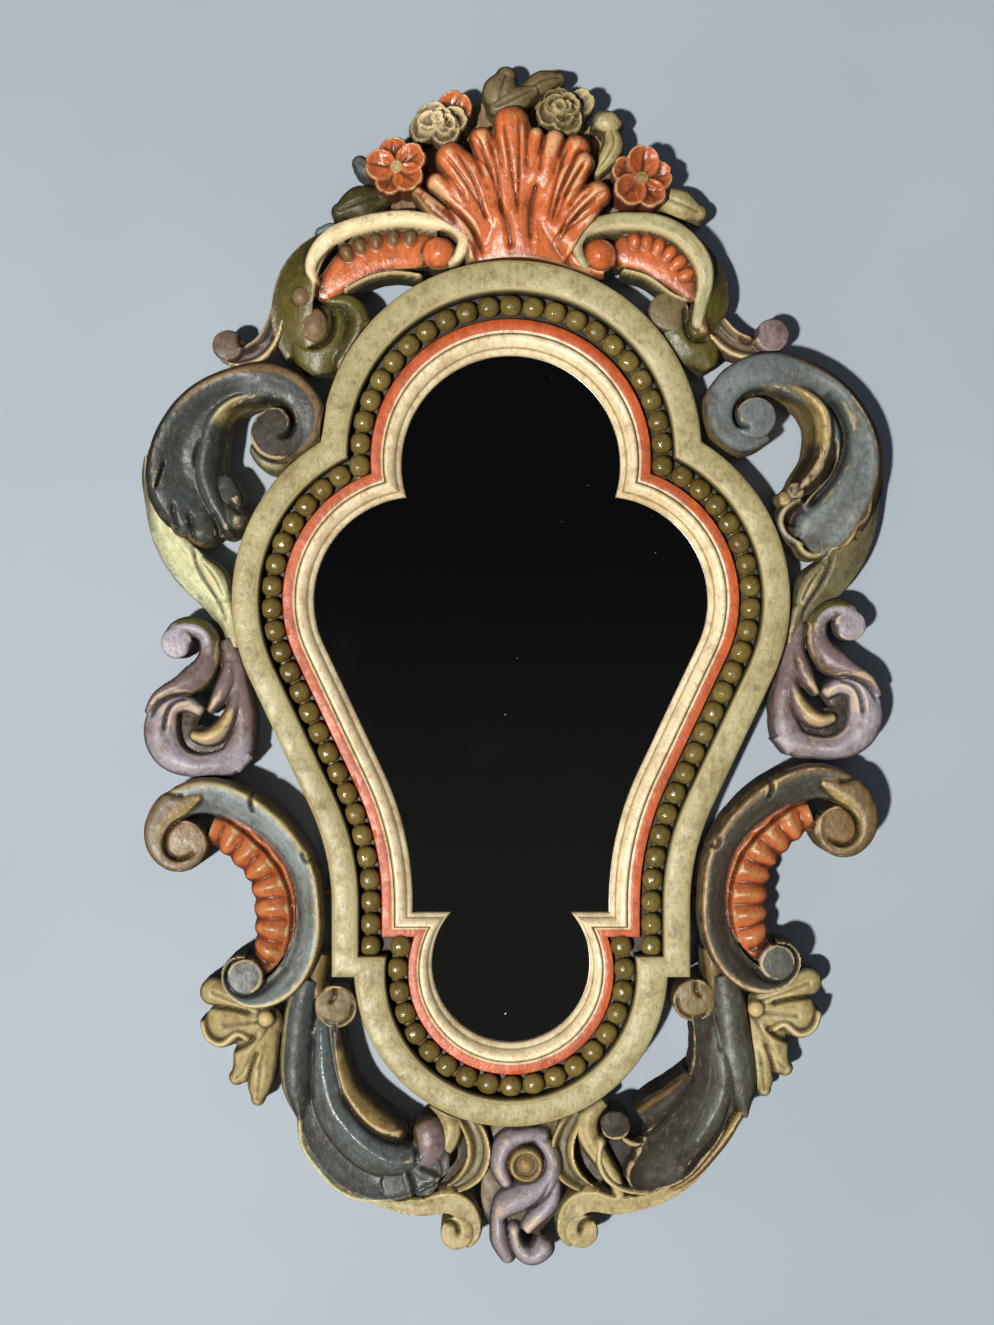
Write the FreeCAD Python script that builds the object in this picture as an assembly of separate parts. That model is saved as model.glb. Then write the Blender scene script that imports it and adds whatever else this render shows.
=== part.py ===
import FreeCAD, Part
import math
import os
from FreeCAD import Vector

# Carved and painted wall mirror with a lobed frame, modelled round the middle of its glass.
# X runs to the right as seen from the front, Z runs up and the front faces -Y.
# Depth is measured in mm from the flat back of the wood towards the front.

# Sight opening in mm: top arch, shoulder lobes, narrow neck, stepped foot lobe
ARCH_TOP = 217.0
ARCH_RADIUS = 69.0
ARCH_RISE = 0.15
SIGHT_HALF_WIDTH = 124.25
LOBE_RADIUS = 65.5
LOBE_Z = 62.5
NECK_HALF_WIDTH = 62.0
NECK_RADIUS = 195.0
NECK_Z = -128.0
NECK_DROP = 6.0
STEP_IN = 24.0
STEP_DROP = 0.775
TIP_SPREAD = 1.2
FOOT_BOTTOM = -216.0

# Widths of the mouldings, measured outwards from the sight edge
LIP_WIDTH = 11.0
FILLET_WIDTH = 7.5
CHANNEL_WIDTH = 15.0
RAIL_WIDTH = 16.5
LIP_SLOPE = 7.5
RAIL_BEVEL = 3.0

# Depths of the mouldings from the back
RAIL_DEPTH = 30.0
BEVEL_DEPTH = 4.0
CHANNEL_FLOOR = 15.0
FILLET_DEPTH = 20.0
LIP_DEPTH = 22.0
LIP_EDGE = 2.0

# Glass, backing board and brads
GLASS_FRONT = 12.0
GLASS_THICKNESS = 3.0
GLASS_LAP = 8.0
BOARD_THICKNESS = 3.0
BRAD_RADIUS = 0.7
BRAD_GRIP = 8.0
BRAD_REACH = 6.0

# Bead course in the channel
BEAD_RADIUS = 5.8
BEAD_PITCH = 14.1
BEAD_SINK = 4.0

# Brass hanger on the back of the arch
STRAP_THICKNESS = 0.8
STRAP_HALF_WIDTH = 6.0
WIRE_RADIUS = 1.2
LOOP_RADIUS = 9.2
LOOP_LEG = 8.0
HANGER_INSET = 3.3
SCREW_RADIUS = 1.1
SCREW_LENGTH = 9.0
SCREW_HEAD_RADIUS = 2.1
SCREW_HEAD = 1.0

# Carved pieces and pegs
BLOCK_DEPTH = 12.0
PEG_RADIUS = 3.0
PEG_HALF_LENGTH = 11.0
PEG_DEPTH = 6.5
PENDANT_OFFSET = 9.0
FLUTE_RADIUS = 5.5
FLUTE_LIFT = 2.5
RIDGE_SHARE = 0.17

# Clearances
GLUE = 0.2
FIT = 0.1
HOLE_FIT = 0.05

# Sizes that follow from the ones above
RING_WIDTH = LIP_WIDTH + FILLET_WIDTH + CHANNEL_WIDTH + RAIL_WIDTH
FILLET_EDGE = LIP_WIDTH + FILLET_WIDTH
RAIL_EDGE = FILLET_EDGE + CHANNEL_WIDTH
BEAD_LINE = FILLET_EDGE + CHANNEL_WIDTH / 2
LOBE_X = SIGHT_HALF_WIDTH - LOBE_RADIUS
NECK_X = NECK_HALF_WIDTH + NECK_RADIUS
FRONT = Vector(0, -1, 0)
TALL = RAIL_DEPTH * 3


def at(x, z, depth=0.0):
    return Vector(x, -depth, z)


def polar(centre, radius, degrees):
    angle = math.radians(degrees)
    return centre[0] + radius * math.cos(angle), centre[1] + radius * math.sin(angle)


def heading(start, end):
    return math.degrees(math.atan2(end[1] - start[1], end[0] - start[0]))


# Points of the right half outline, at a distance d outwards from the sight edge
def arch(d):
    return (0.0, ARCH_TOP - ARCH_RADIUS + ARCH_RISE * d), ARCH_RADIUS + d


def lobe(d):
    return (LOBE_X, LOBE_Z), LOBE_RADIUS + d


def neck(d):
    return (NECK_X, NECK_Z), NECK_RADIUS - d


def notch(d):
    (ax, az), ar = arch(d)
    (lx, lz), lr = lobe(d)
    span = math.hypot(lx - ax, lz - az)
    along = (span ** 2 + ar ** 2 - lr ** 2) / (2 * span)
    turn = math.degrees(math.acos(along / ar))
    return polar((ax, az), ar, heading((ax, az), (lx, lz)) + turn)


def step(d):
    return NECK_HALF_WIDTH + d, NECK_Z - NECK_DROP - STEP_DROP * d


def tip(d):
    return NECK_HALF_WIDTH - STEP_IN + TIP_SPREAD * d, NECK_Z - NECK_DROP - STEP_DROP * d


def foot(d):
    tip_x, tip_z = tip(d)
    bottom = FOOT_BOTTOM - d
    centre_z = (tip_x ** 2 + tip_z ** 2 - bottom ** 2) / (2 * (tip_z - bottom))
    return (0.0, centre_z), centre_z - bottom


def outline_runs(d, side, depth):
    """Edges of one half outline in four runs: arch, flank, ledge of the step, foot."""

    def spot(point):
        return at(side * point[0], point[1], depth)

    def arc(circle, start, end):
        centre, radius = circle
        ends = [spot(polar(centre, radius, angle)) for angle in (start, (start + end) / 2, end)]
        return Part.Arc(*ends).toShape()

    def line(start, end):
        return Part.LineSegment(spot(start), spot(end)).toShape()

    corner = notch(d)
    lobe_centre, lobe_radius = lobe(d)
    neck_centre, neck_radius = neck(d)
    span = math.dist(lobe_centre, neck_centre)
    lean = math.degrees(math.acos((lobe_radius + neck_radius) / span))
    flank = heading(lobe_centre, neck_centre) + lean
    top = [arc(arch(d), 90, heading(arch(d)[0], corner))]
    middle = [
        arc(lobe(d), heading(lobe_centre, corner), flank),
        line(polar(lobe_centre, lobe_radius, flank), polar(neck_centre, neck_radius, flank + 180)),
        arc(neck(d), flank + 180, 180),
        line((NECK_HALF_WIDTH + d, NECK_Z), step(d)),
    ]
    ledge = [line(step(d), tip(d))]
    base = [arc(foot(d), heading(foot(d)[0], tip(d)), -90)]
    return top, middle, ledge, base


def outline(d, depth):
    right = [edge for run in outline_runs(d, 1, depth) for edge in run]
    left = [edge for run in outline_runs(d, -1, depth) for edge in run]
    return Part.Wire(right + left[::-1])


def plate(d, low, high):
    return Part.Face(outline(d, low)).extrude(FRONT * (high - low))


def taper(d_low, low, d_high, high):
    return Part.makeLoft([outline(d_low, low), outline(d_high, high)], True, True)


def kerf(start, end):
    """Thin upright slot along a joint line, which leaves the glue line open."""
    along = at(end[0] - start[0], end[1] - start[1]).normalize()
    across = along.cross(FRONT) * (GLUE / 2)
    first = at(start[0], start[1], -1)
    last = at(end[0], end[1], -1)
    corners = [first + across, last + across, last - across, first - across, first + across]
    return Part.Face(Part.makePolygon(corners)).extrude(FRONT * TALL)


def both_sides(point):
    return [point, (-point[0], point[1])]


def quarters(shape, joints, name):
    """Split a ring at its four joints into top, bottom, left and right."""
    solids = shape.cut(joints).Solids
    by_height = sorted(solids, key=lambda solid: solid.CenterOfMass.z)
    sides = sorted(by_height[1:-1], key=lambda solid: solid.CenterOfMass.x)
    return {
        name + "_bottom": by_height[0],
        name + "_left": sides[0],
        name + "_right": sides[-1],
        name + "_top": by_height[-1],
    }


def rod(start, direction, radius, length):
    return Part.makeCylinder(radius, length, start, direction)


# Ring of four glued segments: outer rail, bead channel and inner fillet
RAIL_SHOULDER = RAIL_DEPTH - BEVEL_DEPTH
ring = plate(RING_WIDTH, 0, RAIL_SHOULDER)
ring = ring.fuse(taper(RING_WIDTH, RAIL_SHOULDER, RING_WIDTH - RAIL_BEVEL, RAIL_DEPTH))
ring = ring.cut(plate(RAIL_EDGE, CHANNEL_FLOOR, TALL))
ring = ring.cut(taper(RAIL_EDGE, RAIL_SHOULDER, RAIL_EDGE + RAIL_BEVEL, RAIL_DEPTH))
ring = ring.fuse(plate(FILLET_EDGE, CHANNEL_FLOOR / 2, FILLET_DEPTH))
ring = ring.cut(plate(LIP_WIDTH, -1, TALL))

# Brads driven into the inside of the ring, just behind the backing board
BOARD_BACK = GLASS_FRONT - GLASS_THICKNESS - BOARD_THICKNESS - 2 * FIT
BRAD_DEPTH = BOARD_BACK - BRAD_RADIUS - FIT
brad_seats = [(arch, angle, 1) for angle in (35, 90, 145)]
brad_seats += [(foot, angle, 1) for angle in (-140, -90, -40)]
brad_seats += [(lobe, angle, side) for angle in (45, -5) for side in (1, -1)]
brads = []
brad_holes = []
for circle, angle, side in brad_seats:
    centre, radius = circle(LIP_WIDTH)
    inner = polar(centre, radius - BRAD_REACH, angle)
    outer = polar(centre, radius, angle)
    start = at(side * inner[0], inner[1], BRAD_DEPTH)
    aim = at(side * outer[0], outer[1], BRAD_DEPTH) - start
    brads.append(rod(start, aim, BRAD_RADIUS, BRAD_REACH + BRAD_GRIP))
    brad_holes.append(rod(start, aim, BRAD_RADIUS + HOLE_FIT, BRAD_REACH + BRAD_GRIP + FIT))

# Hanger: a strap screwed to the arch, curled round the bar of a loose wire loop
APEX = sum(arch(RING_WIDTH)[0]) + arch(RING_WIDTH)[1]
LOOP_TOP = APEX - HANGER_INSET
LOOP_CENTRE = LOOP_TOP - LOOP_RADIUS
KNUCKLE_Z = LOOP_CENTRE - LOOP_LEG
KNUCKLE_RADIUS = WIRE_RADIUS + HOLE_FIT + STRAP_THICKNESS
KNUCKLE_Y = KNUCKLE_RADIUS + HOLE_FIT
HANG_Z = LOOP_TOP - WIRE_RADIUS
STRAP_END = LOOP_CENTRE - LOOP_LEG * 2 - STRAP_HALF_WIDTH / 12
RIGHT = Vector(1, 0, 0)
BACK = Vector(0, 1, 0)
UP = Vector(0, 0, 1)

strap_width = STRAP_HALF_WIDTH * 2
strap = Part.makeBox(strap_width, STRAP_THICKNESS, KNUCKLE_Z - STRAP_END,
                     Vector(-STRAP_HALF_WIDTH, HOLE_FIT, STRAP_END))
strap = strap.fuse(rod(Vector(0, HOLE_FIT, STRAP_END), BACK, STRAP_HALF_WIDTH, STRAP_THICKNESS))
knuckle_start = Vector(-STRAP_HALF_WIDTH, KNUCKLE_Y, KNUCKLE_Z)
strap = strap.fuse(rod(knuckle_start, RIGHT, KNUCKLE_RADIUS, strap_width))
strap = strap.cut(rod(knuckle_start, RIGHT, WIRE_RADIUS + HOLE_FIT, strap_width))

upper_screw = KNUCKLE_Z - KNUCKLE_RADIUS - SCREW_HEAD_RADIUS - STRAP_THICKNESS
lower_screw = upper_screw - SCREW_HEAD_RADIUS * 2.6
screws = []
screw_holes = []
for height in (lower_screw, upper_screw):
    face = HOLE_FIT + STRAP_THICKNESS
    shank = rod(Vector(0, face, height), FRONT, SCREW_RADIUS, SCREW_LENGTH)
    head = rod(Vector(0, face + HOLE_FIT, height), BACK, SCREW_HEAD_RADIUS, SCREW_HEAD)
    neck_pin = rod(Vector(0, face, height), BACK, SCREW_RADIUS, HOLE_FIT)
    screws.append(shank.fuse([neck_pin, head]))
    screw_holes.append(rod(Vector(0, face, height), FRONT, SCREW_RADIUS + HOLE_FIT, SCREW_LENGTH + FIT))
strap = strap.cut(screw_holes)

bar_start = Vector(-LOOP_RADIUS, KNUCKLE_Y, KNUCKLE_Z)
bar_end = Vector(LOOP_RADIUS, KNUCKLE_Y, KNUCKLE_Z)
bow = Part.makeTorus(LOOP_RADIUS, WIRE_RADIUS, Vector(0, KNUCKLE_Y, LOOP_CENTRE), FRONT)
bow = bow.common(Part.makeBox(LOOP_RADIUS * 4, LOOP_RADIUS, LOOP_RADIUS * 2,
                              Vector(-LOOP_RADIUS * 2, KNUCKLE_Y - LOOP_RADIUS / 2, LOOP_CENTRE)))
loop = rod(bar_start, RIGHT, WIRE_RADIUS, LOOP_RADIUS * 2)
for corner in (bar_start, bar_end):
    loop = loop.fuse([rod(corner, UP, WIRE_RADIUS, LOOP_LEG), Part.makeSphere(WIRE_RADIUS, corner)])
loop = loop.fuse(bow)

# Pegs between the ring and the carved pieces that carry the rest
peg_places = [((0.0, APEX), 90), ((PENDANT_OFFSET, FOOT_BOTTOM - RING_WIDTH), 90)]
for side in (1, -1):
    notch_x, notch_z = notch(RING_WIDTH)
    peg_places.append(((side * notch_x, notch_z + PEG_RADIUS * 2.5), 0))
    peg_places.append(((side * step(RING_WIDTH)[0], NECK_Z + PEG_RADIUS * 2), 0))
pegs = []
peg_holes = []
for (x, z), angle in peg_places:
    way = at(*polar((0, 0), 1, angle))
    start = at(x, z, PEG_DEPTH) - way * PEG_HALF_LENGTH
    pegs.append(rod(start, way, PEG_RADIUS, PEG_HALF_LENGTH * 2))
    peg_holes.append(rod(start - way * FIT, way, PEG_RADIUS + HOLE_FIT, PEG_HALF_LENGTH * 2 + 2 * FIT))

ring = ring.cut(brad_holes + screw_holes + peg_holes)
shoulder_joint = [polar((LOBE_X, LOBE_Z), LOBE_RADIUS, 25), polar((LOBE_X, LOBE_Z), LOBE_RADIUS * 3, 25)]
foot_joint = [tip(0), tip(RING_WIDTH * 1.3)]
ring_joints = []
for first, last in (shoulder_joint, foot_joint):
    ring_joints += [kerf(a, b) for a, b in zip(both_sides(first), both_sides(last))]
nodes = quarters(ring, ring_joints, "ring")

# Gilt lip in front of the glass, mitred at the arch cusps and at the foot
slip = plate(LIP_WIDTH - FIT, GLASS_FRONT + FIT, LIP_DEPTH)
slip = slip.cut(plate(0, 0, GLASS_FRONT + LIP_EDGE))
slip = slip.cut(taper(0, GLASS_FRONT + LIP_EDGE, LIP_SLOPE, LIP_DEPTH))
slip_joints = []
for first, last in ((notch(0), notch(LIP_WIDTH)), (tip(0), tip(LIP_WIDTH))):
    past_first = (first[0] * 2 - last[0], first[1] * 2 - last[1])
    past_last = (last[0] * 2 - first[0], last[1] * 2 - first[1])
    slip_joints += [kerf(a, b) for a, b in zip(both_sides(past_first), both_sides(past_last))]
nodes.update(quarters(slip, slip_joints, "slip"))

nodes["mirror_glass"] = plate(GLASS_LAP, GLASS_FRONT - GLASS_THICKNESS, GLASS_FRONT)
nodes["backing_board"] = plate(GLASS_LAP, BOARD_BACK, BOARD_BACK + BOARD_THICKNESS + FIT)
nodes["brads"] = Part.Compound(brads)
nodes["hanger_plate"] = strap
nodes["hanger_ring"] = loop
nodes["hanger_screws"] = Part.Compound(screws)
nodes["dowels"] = Part.Compound(pegs)


# Beads at an even pitch along the arch, the flanks and the foot
def spaced(edges, first):
    wire = Part.Wire(edges)
    count = max(2, round(wire.Length / BEAD_PITCH))
    return wire.discretize(Number=count + 1)[first:]


bead_centres = []
for side in (1, -1):
    top, middle, ledge, base = outline_runs(BEAD_LINE, side, 0)
    bead_centres += spaced(top, 0 if side == 1 else 1)
    bead_centres += spaced(middle, 1)
    bead_centres += spaced(base, 0)[:None if side == 1 else -1]
bead_low = math.degrees(math.asin((FIT - BEAD_SINK) / BEAD_RADIUS))
beads = []
for centre in bead_centres:
    middle_point = centre + FRONT * (CHANNEL_FLOOR + BEAD_SINK)
    beads.append(Part.makeSphere(BEAD_RADIUS, middle_point, FRONT, bead_low, 90, 360))
nodes["bead_course"] = Part.Compound(beads)

# Carved forms. A station is x, z, half width and depth, in mm from the form's anchor.
CROWN = [(-1, 0), (-1, 0.6), (-0.62, 0.9), (0, 1), (0.62, 0.9), (1, 0.6), (1, 0)]
HOLLOW = [(-1, 0), (-1, 0.84), (-0.8, 1), (-0.3, 0.74), (0.3, 0.74), (0.8, 1), (1, 0.84), (1, 0)]
RIDGE = [(-1, 0), (-1, 0.55), (-0.5, 0.68), (0, 1), (0.5, 0.68), (1, 0.55), (1, 0)]
BOX = [(-1, 0), (-1, 1), (1, 1), (1, 0)]


class Ribbon:
    """Band carved along a curve through its stations, with one cross profile."""

    def __init__(self, stations, profile=CROWN, floor=0.0, flutes=0):
        self.stations = stations
        self.profile = profile
        self.floor = floor
        self.flutes = flutes

    def placed(self, move):
        stations = [(*move(x, z), width, depth) for x, z, width, depth in self.stations]
        return Ribbon(stations, self.profile, self.floor, self.flutes)

    def curve(self):
        spine = Part.BSplineCurve()
        spine.interpolate([at(x, z) for x, z, _, _ in self.stations])
        return spine

    def loft(self, profile, grow, low, high=None):
        spine = self.curve()
        sections = []
        for x, z, width, depth in self.stations:
            along = spine.tangent(spine.parameter(at(x, z)))[0]
            across = along.cross(FRONT)
            top = depth if high is None else high
            corners = []
            for u, v in profile:
                corners.append(at(x, z, low + v * (top - low)) + across * (u * (width + grow)))
            sections.append(Part.makePolygon(corners + corners[:1]))
        return Part.makeLoft(sections, True, False)

    def solid(self):
        shape = self.loft(self.profile, 0.0, self.floor)
        spine = self.curve()
        span = spine.LastParameter - spine.FirstParameter
        grooves = []
        for index in range(self.flutes):
            place = spine.FirstParameter + span * (index + 0.5) / self.flutes
            across = spine.tangent(place)[0].cross(FRONT)
            depth = self.stations[len(self.stations) // 2][3] + FLUTE_LIFT
            reach = max(width for _, _, width, _ in self.stations) * 2
            start = spine.value(place) + FRONT * depth - across * reach
            grooves.append(rod(start, across, FLUTE_RADIUS, reach * 2))
        return shape.cut(grooves) if grooves else shape

    def clearance(self):
        return self.loft(BOX, GLUE, self.floor - GLUE, TALL)


class Dome:
    """Round boss with a straight side up to its shoulder and a domed top."""

    def __init__(self, x, z, radius, shoulder, top, floor=0.0):
        self.x = x
        self.z = z
        self.radius = radius
        self.shoulder = shoulder
        self.top = top
        self.floor = floor

    def placed(self, move):
        x, z = move(self.x, self.z)
        return Dome(x, z, self.radius, self.shoulder, self.top, self.floor)

    def solid(self):
        rise = self.top - self.shoulder
        ball = (self.radius ** 2 + rise ** 2) / (2 * rise)
        half = self.radius / 2
        middle = self.top - ball + math.sqrt(ball ** 2 - half ** 2)
        low = at(self.x, self.z, self.floor)
        side = Part.makePolygon([at(self.x, self.z, self.top), low, at(self.x + self.radius, self.z, self.floor),
                                 at(self.x + self.radius, self.z, self.shoulder)])
        cap = Part.Arc(at(self.x + self.radius, self.z, self.shoulder), at(self.x + half, self.z, middle),
                       at(self.x, self.z, self.top)).toShape()
        return Part.Face(Part.Wire(side.Edges + [cap])).revolve(low, FRONT, 360)

    def clearance(self):
        return rod(at(self.x, self.z, self.floor - GLUE), FRONT, self.radius + GLUE, TALL)


class Volute:
    """Scroll end: a sunk disc, a ridge that winds in over it, and a round eye."""

    def __init__(self, x, z, radius, depth, eye, start, turns):
        self.x = x
        self.z = z
        self.radius = radius
        self.depth = depth
        self.eye = eye
        self.start = start
        self.turns = turns

    def placed(self, move):
        x, z = move(self.x, self.z)
        ahead = move(self.x + 1, self.z)
        flipped = ahead[0] < x
        start = 180 - self.start if flipped else self.start
        turns = -self.turns if flipped else self.turns
        return Volute(x, z, self.radius, self.depth, self.eye, start, turns)

    def solid(self):
        ridge = self.radius * RIDGE_SHARE
        stations = []
        for index in range(9):
            share = index / 8
            way = self.radius - ridge + (self.eye - self.radius + ridge * 2) * share
            x, z = polar((self.x, self.z), way, self.start + 360 * self.turns * share)
            stations.append((x, z, ridge * (1 - 0.3 * share), self.depth))
        disc = Dome(self.x, self.z, self.radius - ridge / 2, self.depth * 0.8, self.depth * 0.86).solid()
        eye = Dome(self.x, self.z, self.eye, self.depth * 0.9, self.depth * 1.08).solid()
        return disc.fuse([Ribbon(stations).solid(), eye])

    def clearance(self):
        return rod(at(self.x, self.z, -1), FRONT, self.radius + GLUE, TALL)


def flower(x, z, radius, petals, top, floor):
    """Ring of domed petals round a central boss."""
    forms = [Dome(x, z, radius * 0.42, top - 2, top + 3, floor)]
    for index in range(petals):
        px, pz = polar((x, z), radius * 0.6, 90 + 360 * index / petals)
        forms.append(Dome(px, pz, radius * 0.42, top - 6, top, floor))
    return forms


# Right side forms, each from the anchor point of the ring that it hangs on
SHOULDER = [
    Ribbon([(11, -4, 11, 34), (11, 14, 13, 36), (16, 30, 11, 38), (27, 41, 11, 38), (45, 42, 10, 37),
            (62, 40, 12, 36), (82, 27, 13, 35), (96, 8, 12, 34), (100, -14, 12, 32), (96, -36, 15, 30),
            (86, -55, 17, 26), (76, -68, 11, 20)], HOLLOW),
    Ribbon([(95, -33, 12, 28), (74, -38, 14, 27), (57, -45, 10, 24), (42, -53, 6, 20)], RIDGE),
    Volute(32, 10, 16, 40, 8, 180, 0.8),
]
STEM = [Ribbon([(49, 70, 6, 22), (45, 50, 8, 24), (36, 28, 9, 25), (22, 10, 11, 25), (7, -5, 11, 24),
                (3, -19, 8, 22), (3, -33, 5, 20)])]
ACANTHUS = [
    Ribbon([(9, -18, 5, 22), (6, -38, 7, 25), (3, -58, 8, 27), (4, -76, 10, 28), (10, -90, 8, 24)], RIDGE),
    Ribbon([(25, -19, 6, 25), (23, -33, 7, 28), (33, -46, 9, 31), (43, -59, 11, 32), (45, -74, 12, 32),
            (35, -86, 12, 31), (20, -89, 11, 28), (6, -88, 8, 24)]),
    Ribbon([(4, -60, 8, 27), (12, -68, 8, 30), (23, -70, 7, 30), (30, -63, 6, 28), (26, -54, 5, 26)]),
    Dome(33, -18, 10, 25, 30),
]
LOWER = [
    Ribbon([(92, 73, 11, 36), (69, 74, 12, 37), (47, 64, 14, 37), (28, 46, 14, 37), (15, 28, 14, 36),
            (11, 9, 13, 35), (11, -8, 13, 35), (19, -26, 11, 35), (34, -43, 10, 35), (50, -51, 8, 34)]),
    Ribbon([(78, 52, 9, 27), (62, 47, 10, 28), (49, 37, 11, 28), (40, 24, 12, 28), (36, 9, 12, 28),
            (36, -4, 11, 28), (39, -19, 9, 28), (46, -30, 6, 26)], CROWN, 0.0, 8),
    Volute(94, 52, 19, 38, 10, 90, -0.8),
    Volute(53, -36, 15, 36, 8, 270, 0.8),
]
SPRAY = [
    Ribbon([(41, -15, 8, 22), (59, -8, 7.5, 24), (80, 1, 2, 18)], RIDGE),
    Ribbon([(41, -21, 9, 22), (59, -24, 11, 25), (74, -27, 8, 22), (81, -28, 2.5, 18)], RIDGE),
    Ribbon([(41, -26, 9, 22), (51, -40, 9, 24), (61, -54, 2.5, 18)], RIDGE),
    Ribbon([(39, -24, 8, 22), (41, -47, 7.5, 23), (46, -72, 2, 18)], RIDGE),
    Dome(41, -17, 6, 24, 28),
]
HOOK = [Ribbon([(8, 18, 6, 24), (14, 3, 8, 26), (14, -12, 8, 28)]), Volute(1, -13, 13, 30, 6, 0, 0.8)]
BASE = [
    Ribbon([(20, -14, 11, 30), (19, -34, 17, 34), (20, -51, 19, 36), (18, -70, 21, 37), (9, -85, 21, 38),
            (-3, -99, 23, 38), (-19, -112, 23, 37), (-34, -118, 19, 35), (-50, -117, 12, 32)], RIDGE),
    Ribbon([(-49, -115, 10, 30), (-54, -102, 7, 30), (-47, -91, 6, 30)]),
    Dome(-46, -91, 9.5, 30, 35),
]
RIM = [
    Ribbon([(148, 12, 5, 24), (137, -13, 6, 26), (123, -28, 6, 27), (109, -40, 6, 27), (90, -46, 6, 27),
            (71, -50, 6, 27), (56, -50, 6, 27), (42, -48, 6, 28), (32, -57, 6, 28)]),
    Ribbon([(52, 20, 5, 28), (46, -3, 5, 29), (52, -27, 5, 29), (62, -44, 5, 27)]),
    Dome(42, -64, 11, 26, 31),
]
CURL = [Ribbon([(42, 9, 5, 26), (30, -10, 6, 28), (28, -24, 6, 28), (36, -38, 6, 28), (49, -42, 5, 26)])]
PENDANT = [
    Ribbon([(9, 6, 17, 28), (9, -13, 16, 32), (9, -34, 14, 33), (9, -50, 12, 32), (10, -69, 11, 30),
            (10, -83, 8, 26)], RIDGE),
    Dome(9, -24, 11, 33, 37),
    Dome(-1, -81, 8, 24, 28),
    Dome(21, -78, 8, 24, 28),
]

# Crest forms, from the top of the ring; the two sides are carved to different lengths
CREST_FLOOR = BLOCK_DEPTH + GLUE / 2
SHELL_ROOT = (2, -4)
SHELL_SPREAD = 0.5
SHELL_TIPS = [(-54, 43, 8), (-46, 58, 9), (-33, 71, 9), (-19, 82, 9), (-1, 89, 11), (18, 80, 9), (32, 71, 9),
              (45, 58, 9), (56, 41, 8)]
SHELL = []
for tip_x, tip_z, width in SHELL_TIPS:
    root_x = SHELL_ROOT[0] + tip_x * SHELL_SPREAD
    root_z = SHELL_ROOT[1]
    lean = heading((root_x, root_z), (tip_x, tip_z))
    half_x = (root_x + tip_x) / 2
    half_z = (root_z + tip_z) / 2
    end_x, end_z = polar((tip_x, tip_z), width * 0.9, lean)
    SHELL.append(Ribbon([(root_x, root_z, width * 0.6, 34), (half_x, half_z, width * 0.8, 38),
                         (tip_x, tip_z, width, 44), (end_x, end_z, width * 0.5, 38)], CROWN, CREST_FLOOR))
BLOCK_EDGE = [(-27, -6), (-47, 22), (-77, 38), (-84, 60), (-68, 74), (-58, 90), (-37, 96), (1, 108), (21, 109),
              (39, 100), (52, 84), (67, 68), (93, 56), (96, 38), (63, 29), (44, 13), (38, -6)]
CREST_SCROLL_R = [
    Ribbon([(44, 7, 11, 30), (59, 10, 14, 33), (74, 11, 16, 34), (90, 6, 17, 34), (106, -7, 15, 34),
            (117, -20, 10, 32), (123, -33, 6, 28)], HOLLOW, 0.0, 6),
    Dome(54, 4, 11, 32, 38),
]
CREST_SCROLL_L = [
    Ribbon([(-35, 6, 11, 30), (-51, 10, 14, 33), (-69, 11, 16, 34), (-91, 7, 17, 34), (-110, -2, 16, 34),
            (-126, -13, 12, 34), (-137, -28, 10, 32), (-144, -43, 8, 30), (-146, -57, 6, 26)], HOLLOW, 0.0, 8),
    Dome(-46, 4, 11, 32, 38),
]
CREST_LEAF_R = [
    Ribbon([(88, -31, 7, 22), (102, -38, 12, 26), (116, -48, 15, 26), (127, -61, 10, 22)], RIDGE),
    Dome(118, -40, 6, 27, 31),
]
CREST_LEAF_L = [
    Ribbon([(-99, -27, 8, 22), (-110, -40, 16, 26), (-121, -54, 19, 26), (-121, -71, 9, 22)], RIDGE),
    Dome(-124, -40, 9, 27, 32),
]
EAR_R = [Ribbon([(122, -36, 7, 24), (139, -50, 6, 24), (154, -54, 5, 24)]), Dome(163, -48, 10, 22, 27)]
EAR_L = [Ribbon([(-147, -52, 7, 24), (-162, -60, 6, 24), (-171, -58, 5, 24)]), Dome(-177, -54, 9.5, 22, 27)]
CREST_SPRIGS = {
    "flower_l": flower(-71, 56, 17.5, 6, 36, CREST_FLOOR),
    "flower_r": flower(81, 49, 18.5, 6, 36, CREST_FLOOR),
    "rose_l": flower(-44, 85, 17, 5, 38, CREST_FLOOR),
    "rose_r": flower(32, 93, 16, 5, 38, CREST_FLOOR),
    "leaf_top_l": [Ribbon([(-6, 95, 6, 26), (-8, 106, 9, 28), (-9, 117, 2, 22)], RIDGE, CREST_FLOOR)],
    "leaf_top_r": [Ribbon([(14, 97, 6, 26), (17, 108, 8, 28), (19, 117, 2, 22)], RIDGE, CREST_FLOOR)],
    "leaf_top_c": [Ribbon([(-11, 98, 3, 24), (1, 100, 8, 28), (13, 102, 3, 24)], RIDGE, CREST_FLOOR)],
    "leaf_olive_l": [Ribbon([(-78, 28, 5, 20), (-92, 33, 10, 24), (-103, 32, 8, 22), (-114, 32, 2, 18)], RIDGE)],
    "leaf_small_l": [Ribbon([(-84, 56, 6, 22), (-92, 61, 7, 24), (-100, 66, 2, 20)], RIDGE)],
    "leaf_blue_l": [Ribbon([(-102, 16, 4, 18), (-114, 18, 7, 22), (-125, 16, 2, 18)], RIDGE)],
    "leaf_r": [Ribbon([(92, 41, 6, 22), (106, 35, 11, 26), (119, 30, 3, 20)], RIDGE)],
    "bud_r": [Dome(59, 84, 7, 26, 31, CREST_FLOOR)],
    "leaf_curl_r": [Ribbon([(52, 66, 3, 24), (60, 67, 7, 28), (67, 74, 3, 24)], RIDGE, CREST_FLOOR)],
}

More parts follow.
